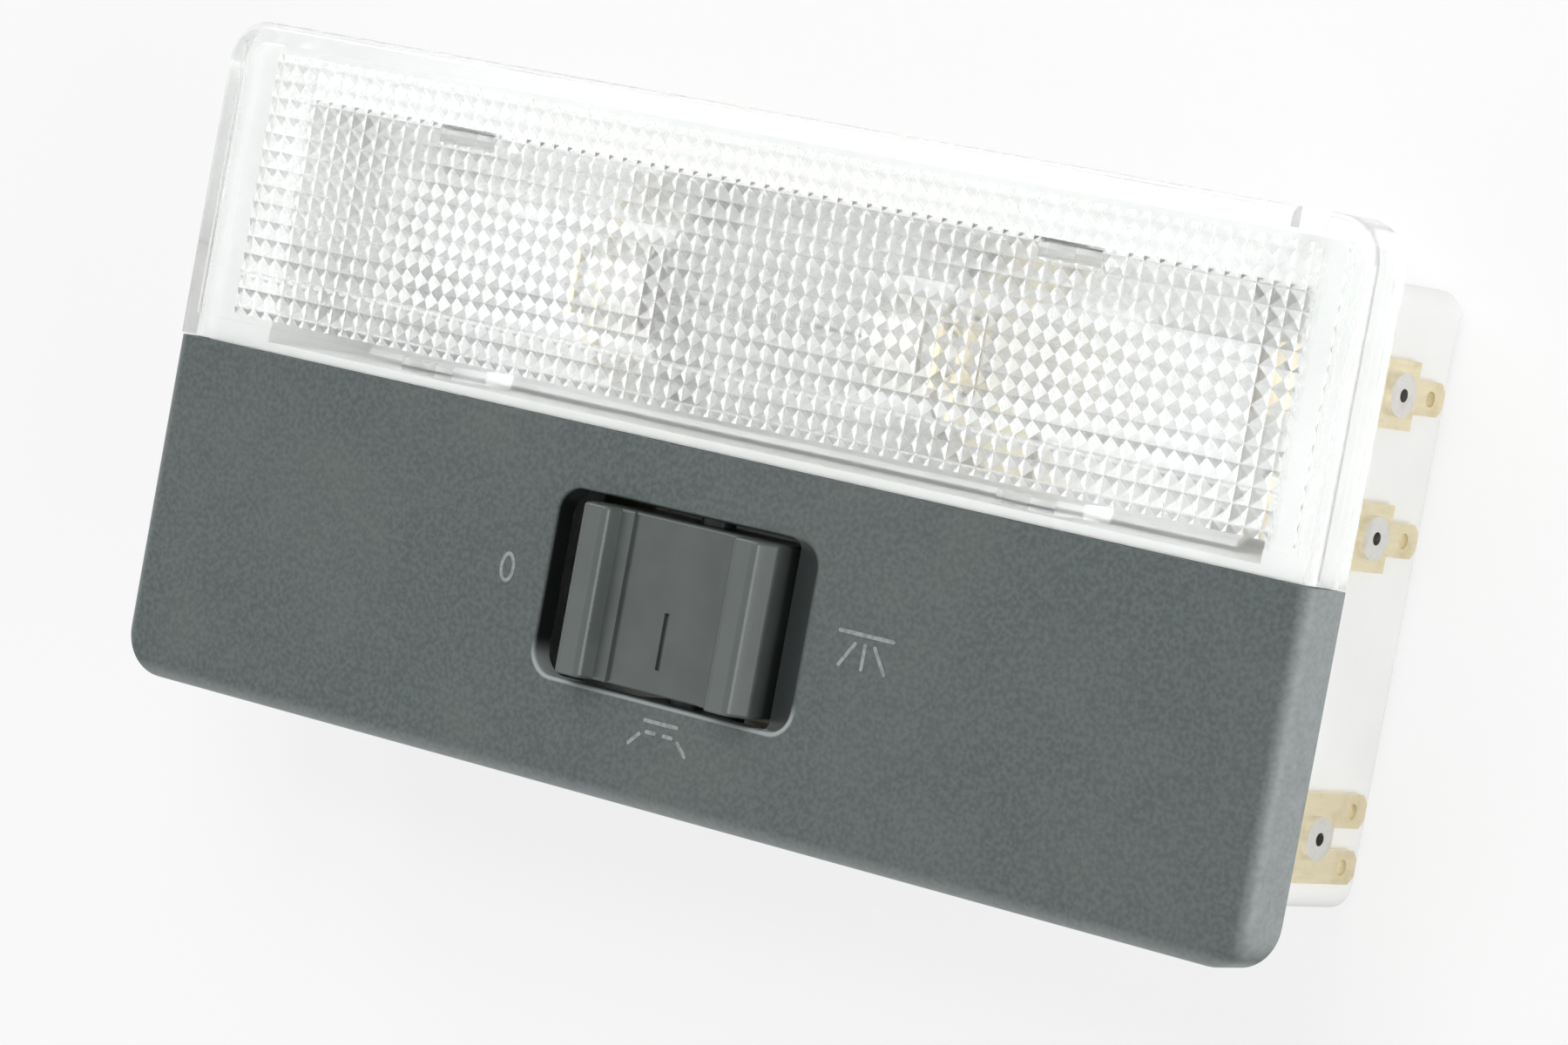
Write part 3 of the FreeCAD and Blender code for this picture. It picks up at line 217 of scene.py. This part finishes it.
class CourtesySizes(bpy.types.PropertyGroup):
    """Sizes of what the scene adds."""

    plate_grain: length_property("Plate grain", "Width of one pit of the plate's grain", 0.45 * MM)
    stroke: length_property("Stroke", "Width of a line of the marks", 0.34 * MM)
    ink: length_property("Ink", "Thickness of the printed ink", 0.03 * MM)
    zero_height: length_property("Zero height", "Height of the off mark", 2.7 * MM)
    lamp_bar: length_property("Lamp bar", "Length of the bar of the lamp mark", 5.6 * MM)
    door_bar: length_property("Door bar", "Length of the roof line of the door mark", 5.0 * MM)
    coil_radius: length_property("Coil radius", "Radius of the bulb's coil", 0.30 * MM)
    coil_wire: length_property("Coil wire", "Radius of the coil's wire", 0.05 * MM)
    coil_turns: IntProperty(name="Coil turns", description="Turns of the bulb's coil", default=34, min=4)
    spring_wire: length_property("Spring wire", "Radius of the plunger spring's wire", 0.18 * MM)
    spring_turns: IntProperty(
        name="Spring turns", description="Turns of the plunger's spring", default=6, min=2
    )


class CourtesyLight(bpy.types.PropertyGroup):
    """All settings of the courtesy light."""

    colours: PointerProperty(type=CourtesyColours)
    sizes: PointerProperty(type=CourtesySizes)


class Signal:
    """A socket of a finish. Arithmetic on it adds Math nodes."""

    def __init__(self, finish, socket):
        self.finish = finish
        self.socket = socket

    def __add__(self, other):
        return self.finish.maths("ADD", self, other)

    def __radd__(self, other):
        return self.finish.maths("ADD", other, self)

    def __sub__(self, other):
        return self.finish.maths("SUBTRACT", self, other)

    def __rsub__(self, other):
        return self.finish.maths("SUBTRACT", other, self)

    def __mul__(self, other):
        return self.finish.maths("MULTIPLY", self, other)

    def __rmul__(self, other):
        return self.finish.maths("MULTIPLY", other, self)

    def __abs__(self):
        return self.finish.maths("ABSOLUTE", self)


class Finish:
    """A node tree of one material or of the world, and what lays its nodes."""

    def __init__(self, owner):
        owner.use_nodes = True
        self.owner = owner
        self.tree = owner.node_tree
        self.tree.nodes.clear()

    def node(self, kind, settings=None, sockets=None, output=0):
        """Adds a node, sets it, fills or links its sockets and gives one output."""
        made = self.tree.nodes.new(kind)
        for key, value in (settings or {}).items():
            setattr(made, key, value)
        for key, value in (sockets or {}).items():
            if isinstance(value, Signal):
                self.tree.links.new(value.socket, made.inputs[key])
            else:
                made.inputs[key].default_value = value
        if not made.outputs:
            return None
        return Signal(self, made.outputs[output])

    def maths(self, operation, *values):
        """A Math node on values or signals."""
        return self.node("ShaderNodeMath", {"operation": operation}, dict(enumerate(values)))

    def place(self, stretch=None):
        """Object coordinates in metres, scaled along each axis where a stretch is given."""
        spot = self.node("ShaderNodeTexCoord", output="Object")
        if stretch is None:
            return spot
        return self.node("ShaderNodeMapping", None, {"Vector": spot, "Scale": stretch})

    def axes(self):
        """The three object coordinates as separate signals."""
        split = self.node("ShaderNodeSeparateXYZ", None, {"Vector": self.place()})
        return [Signal(self, socket) for socket in split.socket.node.outputs]

    def noise(self, width, detail=2.0, stretch=None):
        """Noise whose blots are about a width across."""
        sockets = {"Vector": self.place(stretch), "Scale": 1 / width, "Detail": detail}
        return self.node("ShaderNodeTexNoise", None, sockets)

    def step(self, value, low, high):
        """Nought below low, one above high, soft between."""
        sockets = {"Value": value, "From Min": low, "From Max": high}
        return self.node("ShaderNodeMapRange", {"interpolation_type": "SMOOTHSTEP"}, sockets)

    def blend(self, share, first, second):
        """A colour between two, by a share."""
        sockets = {0: share, 6: first, 7: second}
        return self.node("ShaderNodeMix", {"data_type": "RGBA"}, sockets, output=2)

    def relief(self, height, depth, strength):
        """A bump of a height signal with a depth in metres."""
        sockets = {"Height": height, "Distance": depth, "Strength": strength}
        return self.node("ShaderNodeBump", None, sockets)

    def surface(self, sockets):
        """The shader of the finish."""
        shader = self.node("ShaderNodeBsdfPrincipled", None, sockets)
        self.node("ShaderNodeOutputMaterial", None, {"Surface": shader})
        return self.owner


def new_finish(name):
    """An empty finish."""
    return Finish(bpy.data.materials.new(name))


def solid(colour, factor=1.0):
    """A colour with full alpha, lighter or darker by a factor."""
    return tuple(min(1.0, channel * factor) for channel in colour) + (1.0,)


def settings():
    """The scene's settings of the lamp."""
    return bpy.context.scene.courtesy_light


def clothe(material, *names):
    """Gives CAD nodes their finish."""
    for name in names:
        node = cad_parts[name]
        for slot in node.material_slots:
            slot.material = material


def plate_finish(colour, grain):
    """Spark-eroded grey plastic with painted highlights on the rim and along the window's lower edge,
    smooth in the window and darkened there as painted shade.
    """
    finish = new_finish("plate_grained_plastic")
    fine = finish.noise(grain, 3.0)
    pits = finish.node("ShaderNodeTexVoronoi", None, {"Vector": finish.place(), "Scale": 0.8 / grain})
    broad = finish.noise(9 * MM, 3.0)
    x, y = finish.axes()[:2]
    # Distance from a rectangle whose corners are the centres of the window's corner arcs.
    along = finish.maths("MAXIMUM", abs(x - WINDOW_MIDDLE.x) - (WINDOW_HALF_LENGTH - WINDOW_RADIUS), 0.0)
    across = finish.maths("MAXIMUM", abs(y - WINDOW_MIDDLE.y) - (WINDOW_HALF_WIDTH - WINDOW_RADIUS), 0.0)
    outwards = finish.maths("SQRT", along * along + across * across)
    # Inside the window and just past its edge the plate is smooth; its colour there is darkened as painted
    # shade.
    bare_and_shaded = 1 - finish.step(outwards, WINDOW_RADIUS, WINDOW_RADIUS + BARE_SHADED_EDGE)
    # A thin pale line along the window's lower edge is a painted highlight.
    near_lip_highlight = 1 - finish.step(abs(outwards - (WINDOW_RADIUS + LIP_OFFSET)), LIP_CORE, LIP_WIDTH)
    lip_highlight = near_lip_highlight * (1 - finish.step(y, WINDOW_MIDDLE.y - LIP_FULL, WINDOW_MIDDLE.y - LIP_FADED))
    # The lighter ends and lower edge of the plate are a painted highlight, made uneven by noise.
    ends = finish.step(abs(x), PLATE_HIGH.x - RIM_HIGHLIGHT_END, PLATE_HIGH.x)
    outer = 1 - finish.step(y, PLATE_LOW.y, PLATE_LOW.y + RIM_HIGHLIGHT_SIDE)
    rim = finish.maths("MAXIMUM", ends, outer)
    rim_highlight = rim * (0.55 + finish.noise(0.9 * MM, 3.0) * 0.5)
    mottled = finish.blend(finish.step(fine, 0.32, 0.70), solid(colour, 0.76), solid(colour, 1.24))
    clouded = finish.blend(finish.step(broad, 0.35, 0.75) * 0.35, mottled, solid(CLOUD_GREY))
    rim_highlighted = finish.blend(rim_highlight * 0.6, clouded, solid(RIM_HIGHLIGHT_GREY))
    window_shaded = finish.blend(bare_and_shaded * 0.95, rim_highlighted, solid(colour, 0.22))
    lip_highlighted = finish.blend(lip_highlight * 0.8, window_shaded, solid(LIP_HIGHLIGHT_GREY))
    grain_left = 1 - bare_and_shaded
    height = (fine * 0.7 + pits * 0.5) * grain_left
    return finish.surface(
        {
            "Base Color": lip_highlighted,
            "Roughness": 0.26 + (0.24 + fine * 0.16) * grain_left - rim_highlight * 0.12,
            "Specular IOR Level": 0.45,
            "Normal": finish.relief(height, 0.035 * MM, 0.55),
        }
    )


def rocker_finish(colour):
    """Satin grey plastic, smoother on the tops of the ridges, where a lighter colour is painted as a
    highlight.
    """
    finish = new_finish("rocker_satin_plastic")
    fine = finish.noise(0.30 * MM, 2.0)
    broad = finish.noise(4 * MM, 2.0)
    z = finish.axes()[2]
    # The tops of the ridges are painted lighter as a highlight, and are made smoother there too.
    ridge_top_highlight = finish.step(z, ROCKER_HIGH.z - 1.3 * MM, ROCKER_HIGH.z)
    tone = finish.blend(finish.step(broad, 0.3, 0.75), solid(colour, 0.90), solid(colour, 1.12))
    highlighted_tone = finish.blend(ridge_top_highlight * 0.5, tone, solid(colour, 1.45))
    scratch = finish.noise(0.25 * MM, 3.0, (1.0, 0.12, 1.0))
    return finish.surface(
        {
            "Base Color": highlighted_tone,
            "Roughness": 0.30 + fine * 0.08 - ridge_top_highlight * 0.10,
            "Specular IOR Level": 0.5,
            "Normal": finish.relief(fine * 0.6 + scratch * 0.5, 0.015 * MM, 0.45),
        }
    )


def housing_finish(colour):
    """White moulded plastic, lighter inside the lamp room as painted light, and a little creamed near the
    bulb.
    """
    finish = new_finish("housing_white_plastic")
    fine = finish.noise(0.6 * MM, 2.0)
    broad = finish.noise(14 * MM, 3.0)
    x, y = finish.axes()[:2]
    far_x = finish.step(abs(x), ROOM_HALF_LENGTH, ROOM_HALF_LENGTH + ROOM_EDGE)
    far_y = finish.step(abs(y - ROOM_MIDDLE_Y), ROOM_HALF_WIDTH, ROOM_HALF_WIDTH + ROOM_EDGE)
    inner = (1 - far_x) * (1 - far_y)
    warm = (1 - finish.step(abs(x), 8 * MM, 34 * MM)) * inner
    tone = finish.blend(finish.step(broad, 0.3, 0.8), solid(colour, 0.96), solid(colour, 1.03))
    # The lighter white inside the lamp room is painted light that lifts its shade.
    bright = finish.blend(inner, tone, solid(ROOM_PAINTED_LIGHT))
    creamed = finish.blend(warm * 0.3, bright, solid(WARM_CREAM))
    return finish.surface(
        {
            "Base Color": creamed,
            "Roughness": 0.40 + fine * 0.14,
            "Normal": finish.relief(fine + broad * 0.4, 0.02 * MM, 0.4),
        }
    )


def lens_finish(colour):
    """Clear moulded plastic with faint flow lines, a trace of dust and a painted glow from a weak
    emission.
    """
    finish = new_finish("lens_clear_plastic")
    flow = finish.noise(3 * MM, 2.0, (0.25, 1.0, 1.0))
    dust = finish.step(finish.noise(0.8 * MM, 4.0), 0.55, 0.80)
    return finish.surface(
        {
            "Base Color": finish.blend(dust * 0.25, solid(colour), solid(LENS_DUST)),
            "Roughness": 0.08 + dust * 0.08,
            "IOR": 1.49,
            "Transmission Weight": 1.0,
            "Alpha": 0.86 + flow * 0.06,
            # The emission is a painted glow; the lens is no lamp.
            "Emission Color": solid(LENS_PAINTED_GLOW),
            "Emission Strength": 0.045,
            "Normal": finish.relief(flow, 0.03 * MM, 0.25),
        }
    )


def metal_finish(name, colour, roughness, tarnish, streak):
    """Metal sheet or wire with rolling streaks and patches of tarnish."""
    finish = new_finish(name)
    lines = finish.noise(0.35 * MM, 3.0, streak)
    patch = finish.step(finish.noise(2.6 * MM, 4.0), 0.46, 0.78)
    tone = finish.blend(lines, solid(colour, 0.90), solid(colour, 1.06))
    return finish.surface(
        {
            "Base Color": finish.blend(patch * 0.55, tone, solid(tarnish)),
            "Metallic": 1.0,
            "Roughness": roughness + lines * 0.10 + patch * 0.14,
            "Normal": finish.relief(lines, 0.01 * MM, 0.35),
        }
    )


def bulb_glass_finish():
    """Thin clear glass with a trace of grey from long use."""
    finish = new_finish("bulb_clear_glass")
    x = finish.axes()[0]
    grey = (1 - finish.step(abs(x), 4 * MM, 11 * MM)) * finish.noise(5 * MM, 2.0)
    return finish.surface(
        {
            "Base Color": finish.blend(grey * 0.5, solid(GLASS_CLEAR), solid(GLASS_GREY)),
            "Roughness": 0.01 + grey * 0.05,
            "IOR": 1.5,
            "Transmission Weight": 1.0,
            "Alpha": 0.26 + grey * 0.10,
        }
    )


def mark_finish(colour):
    """Pale pad-printed ink, thin and broken in places."""
    finish = new_finish("mark_pale_ink")
    thin = finish.step(finish.noise(0.5 * MM, 4.0), 0.44, 0.66)
    return finish.surface(
        {
            "Base Color": finish.blend(thin * 0.6, solid(colour), solid(colour, 0.52)),
            "Roughness": 0.55 + thin * 0.2,
            "Normal": finish.relief(thin, 0.01 * MM, 0.3),
        }
    )


def free_selection():
    """Leaves edit mode and selects nothing."""
    if bpy.context.object and bpy.context.object.mode != "OBJECT":
        bpy.ops.object.mode_set(mode="OBJECT")
    bpy.ops.object.select_all(action="DESELECT")


def pick_faces(piece, wanted):
    """Opens a piece in edit mode with only the wanted faces selected."""
    bpy.ops.object.mode_set(mode="EDIT")
    bpy.ops.mesh.select_mode(type="FACE")
    bpy.ops.mesh.select_all(action="DESELECT")
    bpy.ops.object.mode_set(mode="OBJECT")
    for polygon in piece.data.polygons:
        polygon.select = wanted(polygon)
    bpy.ops.object.mode_set(mode="EDIT")


def finish_piece(piece, name, material):
    """Names a modelled piece, puts its place into its mesh and dresses it."""
    free_selection()
    piece.select_set(True)
    bpy.context.view_layer.objects.active = piece
    bpy.ops.object.transform_apply(location=True, rotation=True, scale=True)
    piece.name = name
    piece.data.name = name
    piece.data.materials.clear()
    piece.data.materials.append(material)
    return piece


def join_pieces(pieces):
    """Makes several pieces one object."""
    free_selection()
    for piece in pieces:
        piece.select_set(True)
    bpy.context.view_layer.objects.active = pieces[0]
    bpy.ops.object.join()
    return bpy.context.view_layer.objects.active


def wound_wire(axis, start, radius, wire, turns, length):
    """A closed coil of round wire about a line along X or Z, from the line's start."""
    free_selection()
    bpy.ops.mesh.primitive_circle_add(
        vertices=COIL_SIDES, radius=wire, fill_type="NOTHING", location=start, rotation=(math.pi / 2, 0, 0)
    )
    coil = bpy.context.object
    bpy.ops.object.transform_apply(location=False, rotation=True, scale=True)
    bpy.ops.object.mode_set(mode="EDIT")
    bpy.ops.mesh.select_all(action="SELECT")
    bpy.ops.transform.translate(value=(0, 0, radius) if axis == "X" else (radius, 0, 0))
    bpy.ops.object.mode_set(mode="OBJECT")
    winding = coil.modifiers.new("winding", "SCREW")
    winding.axis = axis
    winding.angle = 2 * math.pi
    winding.iterations = turns
    winding.steps = COIL_STEPS
    winding.render_steps = COIL_STEPS
    winding.screw_offset = length / turns
    bpy.ops.object.modifier_apply(modifier="winding")
    bpy.ops.object.mode_set(mode="EDIT")
    bpy.ops.mesh.select_all(action="SELECT")
    bpy.ops.mesh.fill_holes(sides=0)
    bpy.ops.mesh.select_all(action="SELECT")
    bpy.ops.mesh.normals_make_consistent(inside=False)
    bpy.ops.object.mode_set(mode="OBJECT")
    bpy.ops.object.shade_smooth_by_angle(angle=math.radians(50))
    return coil


def ink_stroke(start, end):
    """A printed line on the plate from one point to another, round at its ends."""
    sizes = settings().sizes
    run = Vector(end) - Vector(start)
    middle = (Vector(start) + Vector(end)) / 2
    free_selection()
    bpy.ops.mesh.primitive_cube_add(size=1, location=(middle.x, middle.y, FACE_Z + sizes.ink / 2))
    piece = bpy.context.object
    piece.scale = (run.length + sizes.stroke, sizes.stroke, sizes.ink)
    piece.rotation_euler.z = math.atan2(run.y, run.x)
    bpy.ops.object.transform_apply(location=False, rotation=False, scale=True)
    for edge in piece.data.edges:
        ends = [piece.data.vertices[i].co for i in edge.vertices]
        edge.select = abs(ends[0].z - ends[1].z) > sizes.ink / 2
    for polygon in piece.data.polygons:
        polygon.select = False
    bpy.ops.object.mode_set(mode="EDIT")
    bpy.ops.mesh.select_mode(type="EDGE")
    bpy.ops.mesh.bevel(offset=sizes.stroke * 0.45, segments=4, affect="EDGES")
    bpy.ops.object.mode_set(mode="OBJECT")
    return piece


def ink_ring(centre, width, height):
    """A printed oval ring on the plate."""
    sizes = settings().sizes
    free_selection()
    bpy.ops.mesh.primitive_circle_add(
        vertices=40, radius=height / 2, fill_type="NGON", location=(centre[0], centre[1], FACE_Z)
    )
    piece = bpy.context.object
    piece.scale.x = width / height
    bpy.ops.object.transform_apply(location=False, rotation=False, scale=True)
    bpy.ops.object.mode_set(mode="EDIT")
    bpy.ops.mesh.select_all(action="SELECT")
    bpy.ops.mesh.inset(thickness=sizes.stroke, depth=0)
    bpy.ops.mesh.delete(type="FACE")
    bpy.ops.mesh.select_all(action="SELECT")
    bpy.ops.mesh.extrude_region_move(TRANSFORM_OT_translate={"value": (0, 0, sizes.ink)})
    bpy.ops.mesh.select_all(action="SELECT")
    bpy.ops.mesh.normals_make_consistent(inside=False)
    bpy.ops.object.mode_set(mode="OBJECT")
    return piece


class COURTESY_OT_stage(bpy.types.Operator):
    """Pale floor, soft studio light and the camera at the picture's angle"""

    bl_idname = "courtesy.stage"
    bl_label = "Stage"

    def execute(self, context):
        scene = context.scene
        scene.view_settings.view_transform = "Standard"
        self.floor()
        self.sky(scene)
        for soft_box in SOFT_BOXES:
            self.lamp(*soft_box)
        self.camera(scene)
        return {"FINISHED"}

    def floor(self):
        """A wide plane just under the lamp's back."""
        free_selection()
        bpy.ops.mesh.primitive_plane_add(size=FLOOR_SIZE, location=(0, 0, BACK_Z - FLOOR_GAP))
        floor = bpy.context.object
        floor.name = "floor"
        finish = new_finish("pale_floor")
        colour = settings().colours.floor
        tone = finish.blend(finish.noise(FLOOR_CLOUD, 2.0), solid(colour), solid(colour, 1.02))
        matt = finish.node("ShaderNodeBsdfDiffuse", None, {"Color": tone})
        white = finish.node("ShaderNodeEmission", None, {"Color": WHITE, "Strength": 1.0})
        # The camera sees the floor lifted towards white, and a part of the shadow stays.
        seen = Signal(finish, finish.node("ShaderNodeLightPath").socket.node.outputs["Is Camera Ray"])
        both = finish.node("ShaderNodeMixShader", None, {0: seen * FLOOR_LIFT, 1: matt, 2: white})
        finish.node("ShaderNodeOutputMaterial", None, {"Surface": both})
        floor.data.materials.append(finish.owner)

    def sky(self, scene):
        """White where the camera, gloss and clear parts see it, a plain level of light otherwise."""
        world = bpy.data.worlds.new("soft_white")
        scene.world = world
        finish = Finish(world)
        rays = finish.node("ShaderNodeLightPath").socket.node.outputs
        seen = Signal(finish, rays["Is Camera Ray"])
        for name in ("Is Glossy Ray", "Is Transmission Ray"):
            seen = finish.maths("MAXIMUM", seen, Signal(finish, rays[name]))
        plain = finish.node("ShaderNodeBackground", None, {"Color": WHITE, "Strength": PLAIN_LIGHT})
        bright = finish.node("ShaderNodeBackground", None, {"Color": WHITE, "Strength": 1.0})
        both = finish.node("ShaderNodeMixShader", None, {0: seen, 1: plain, 2: bright})
        finish.node("ShaderNodeOutputWorld", None, {"Surface": both})

    def lamp(self, name, spot, width, power):
        """A soft box that faces the object."""
        data = bpy.data.lights.new(name, "AREA")
        data.size = width
        data.energy = power
        lamp = bpy.data.objects.new(name, data)
        bpy.context.scene.collection.objects.link(lamp)
        lamp.location = spot
        lamp.rotation_euler = (-Vector(spot)).to_track_quat("-Z", "Y").to_euler()

    def camera(self, scene):
        """The camera, set by its three directions."""
        data = bpy.data.cameras.new("camera")
        data.sensor_width = CAMERA_SENSOR
        data.lens = CAMERA_LENS
        data.clip_start = CAMERA_CLIP
        camera = bpy.data.objects.new("camera", data)
        scene.collection.objects.link(camera)
        right = Vector(CAMERA_RIGHT).normalized()
        look = Vector(CAMERA_LOOK)
        back = -(look - right * look.dot(right)).normalized()
        up = back.cross(right)
        turn = Matrix((right, up, back)).transposed().to_4x4()
        camera.matrix_world = Matrix.Translation(CAMERA_SPOT) @ turn
        scene.camera = camera


class COURTESY_OT_plate(bpy.types.Operator):
    """Grained finish of the face plate"""

    bl_idname = "courtesy.plate"
    bl_label = "Face plate"

    def execute(self, context):
        lamp = settings()
        clothe(plate_finish(lamp.colours.plate, lamp.sizes.plate_grain), "face_plate")
        return {"FINISHED"}


class COURTESY_OT_rocker(bpy.types.Operator):
    """Satin finish of the rocker"""

    bl_idname = "courtesy.rocker"
    bl_label = "Rocker"

    def execute(self, context):
        clothe(rocker_finish(settings().colours.rocker), "rocker")
        return {"FINISHED"}


class COURTESY_OT_housing(bpy.types.Operator):
    """White finish of the tray"""

    bl_idname = "courtesy.housing"
    bl_label = "Housing"

    def execute(self, context):
        clothe(housing_finish(settings().colours.housing), "housing")
        return {"FINISHED"}


class COURTESY_OT_lens(bpy.types.Operator):
    """Clear finish of the prism lens"""

    bl_idname = "courtesy.lens"
    bl_label = "Lens"

    def execute(self, context):
        clothe(lens_finish(settings().colours.lens), "lens")
        return {"FINISHED"}


class COURTESY_OT_metalwork(bpy.types.Operator):
    """Brass, steel and bright metal of terminals, strips, springs, rivets and reflector"""

    bl_idname = "courtesy.metalwork"
    bl_label = "Metalwork"

    def execute(self, context):
        colours = settings().colours
        brass = metal_finish("brass_sheet", colours.brass, 0.24, BRASS_TARNISH, STREAK_Z)
        clothe(brass, "supply_terminal", "door_terminal", "ground_terminal")
        strips = metal_finish("brass_strip", colours.brass, 0.28, BRASS_TARNISH, STREAK_X)
        clothe(strips, "supply_strip", "common_strip", "door_strip", "ground_strip", "contact_plunger")
        steel = metal_finish("spring_steel", colours.steel, 0.30, STEEL_TARNISH, STREAK_Y)
        clothe(steel, "retaining_spring")
        rivet = metal_finish("rivet_nickel", colours.nickel, 0.26, RIVET_TARNISH, NO_STREAK)
        clothe(rivet, "terminal_rivets", "spring_rivets")
        bright = metal_finish("reflector_bright", colours.reflector, 0.45, REFLECTOR_HAZE, STREAK_LONG_X)
        clothe(bright, "reflector")
        return {"FINISHED"}


class COURTESY_OT_spring(bpy.types.Operator):
    """The plunger's coil spring, wound from wire in place of the CAD spring"""

    bl_idname = "courtesy.spring"
    bl_label = "Plunger spring"

    def execute(self, context):
        lamp = settings()
        wire = lamp.sizes.spring_wire
        low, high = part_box("plunger_spring")
        middle = (low + high) / 2
        foot = low.z + wire + SPRING_PLAY
        length = high.z - wire - SPRING_PLAY - foot
        radius = (high.y - low.y) / 2 - wire
        coil = wound_wire("Z", (middle.x, middle.y, foot), radius, wire, lamp.sizes.spring_turns, length)
        steel = metal_finish("coil_steel", lamp.colours.steel, 0.26, STEEL_TARNISH, NO_STREAK)
        finish_piece(coil, "plunger_coil", steel)
        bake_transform(coil)
        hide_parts("plunger_spring")
        return {"FINISHED"}


class COURTESY_OT_bulb(bpy.types.Operator):
    """Finishes of the bulb, and its coil wound from fine wire"""

    bl_idname = "courtesy.bulb"
    bl_label = "Bulb"

    def execute(self, context):
        colours = settings().colours
        clothe(bulb_glass_finish(), "bulb_glass")
        cap = metal_finish("bulb_cap_nickel", colours.nickel, 0.30, CAP_TARNISH, STREAK_X)
        clothe(cap, "bulb_cap_left", "bulb_cap_right")
        wire = metal_finish("coil_tungsten", TUNGSTEN, 0.42, TUNGSTEN_DARK, NO_STREAK)
        coil = finish_piece(self.coil(), "filament_coil", wire)
        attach(coil, "lamp")
        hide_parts("bulb_filament")
        return {"FINISHED"}

    def coil(self):
        """The wound coil and its two straight leads, as one piece."""
        sizes = settings().sizes
        middle = (FILAMENT_LOW + FILAMENT_HIGH) / 2
        start = (middle.x - HALF_COIL, middle.y, middle.z)
        coil = wound_wire("X", start, sizes.coil_radius, sizes.coil_wire, sizes.coil_turns, 2 * HALF_COIL)
        pieces = [coil]
        for side in (-1, 1):
            outer = FILAMENT_LOW.x if side < 0 else FILAMENT_HIGH.x
            inner = middle.x + side * (HALF_COIL - LEAD_OVERLAP)
            pieces.append(self.lead(inner, outer, middle))
        return join_pieces(pieces)

    def lead(self, inner, outer, middle):
        """A lead wire with a crimped end that holds the coil."""
        free_selection()
        bpy.ops.mesh.primitive_cylinder_add(
            vertices=12,
            radius=LEAD_RADIUS,
            depth=abs(outer - inner),
            location=((inner + outer) / 2, middle.y, middle.z),
            rotation=(0, math.pi / 2, 0),
        )
        lead = bpy.context.object
        bpy.ops.object.transform_apply(location=False, rotation=True, scale=True)
        towards = 1 if outer < inner else -1
        pick_faces(lead, lambda polygon: polygon.normal.x * towards > 0.9)
        bpy.ops.mesh.extrude_region_move(TRANSFORM_OT_translate={"value": (towards * CRIMP_LENGTH, 0, 0)})
        bpy.ops.transform.resize(value=(1, 1.5, 0.5))
        bpy.ops.object.mode_set(mode="OBJECT")
        return lead


class COURTESY_OT_marks(bpy.types.Operator):
    """Printed marks for off, lamp on and door contact around the window"""

    bl_idname = "courtesy.marks"
    bl_label = "Printed marks"

    def execute(self, context):
        ink = mark_finish(settings().colours.mark)
        marks = {"mark_off": self.off(), "mark_lamp": self.lamp(), "mark_door": self.door()}
        for name, piece in marks.items():
            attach(finish_piece(piece, name, ink), "lamp")
        return {"FINISHED"}

    def off(self):
        """An oval nought at the left of the window."""
        height = settings().sizes.zero_height
        return ink_ring(ZERO_AT, ZERO_SHARE * height, height)

    def lamp(self):
        """A ceiling bar with rays beneath it, at the right of the window."""
        x, y = LAMP_AT
        half = settings().sizes.lamp_bar / 2
        top = y + LAMP_BAR_RISE
        strokes = [ink_stroke((x - half, top), (x + half, top))]
        for lean in (-RAY_LEAN, 0.0, RAY_LEAN):
            root = (x + lean * RAY_ROOT_SPREAD, top - RAY_ROOT_DROP)
            tip = (x + lean * RAY_TIP_SPREAD, top - RAY_TIP_DROP)
            strokes.append(ink_stroke(root, tip))
        return join_pieces(strokes)

    def door(self):
        """A roof line with two open doors, below the window."""
        x, y = DOOR_AT
        half = settings().sizes.door_bar / 2
        top = y + DOOR_ROOF_RISE
        sill = top - SILL_DROP
        strokes = [ink_stroke((x - half * ROOF_SHARE, top), (x + half * ROOF_SHARE, top))]
        for side in (-half, half):
            inner = (x + side * SILL_INNER_SHARE, sill)
            outer = (x + side * SILL_OUTER_SHARE, sill)
            root = (x + side * LEAF_ROOT_SHARE, top - LEAF_ROOT_DROP)
            tip = (x + side * LEAF_TIP_SHARE, top - LEAF_TIP_DROP)
            strokes.append(ink_stroke(inner, outer))
            strokes.append(ink_stroke(root, tip))
        return join_pieces(strokes)


class COURTESY_PT_panel(bpy.types.Panel):
    """The sidebar list of the lamp's operators and settings"""

    bl_idname = "COURTESY_PT_panel"
    bl_label = "Courtesy light"
    bl_space_type = "VIEW_3D"
    bl_region_type = "UI"
    bl_category = "Courtesy light"

    def draw(self, context):
        for operator in OPERATORS:
            self.layout.operator(operator.bl_idname)
        for group in (settings().colours, settings().sizes):
            for key in group.__annotations__:
                self.layout.prop(group, key)


OPERATORS = (
    COURTESY_OT_stage,
    COURTESY_OT_plate,
    COURTESY_OT_rocker,
    COURTESY_OT_housing,
    COURTESY_OT_lens,
    COURTESY_OT_metalwork,
    COURTESY_OT_spring,
    COURTESY_OT_bulb,
    COURTESY_OT_marks,
)
CLASSES = (CourtesyColours, CourtesySizes, CourtesyLight, *OPERATORS, COURTESY_PT_panel)


def register():
    """Registers the classes and the settings."""
    for kind in CLASSES:
        bpy.utils.register_class(kind)
    bpy.types.Scene.courtesy_light = PointerProperty(type=CourtesyLight)


def unregister():
    """Removes the settings and the classes."""
    del bpy.types.Scene.courtesy_light
    for kind in reversed(CLASSES):
        bpy.utils.unregister_class(kind)


def main():
    """Builds the whole lamp."""
    register()
    for operator in OPERATORS:
        group, name = operator.bl_idname.split(".")
        getattr(getattr(bpy.ops, group), name)()


if __name__ == "__main__":
    main()
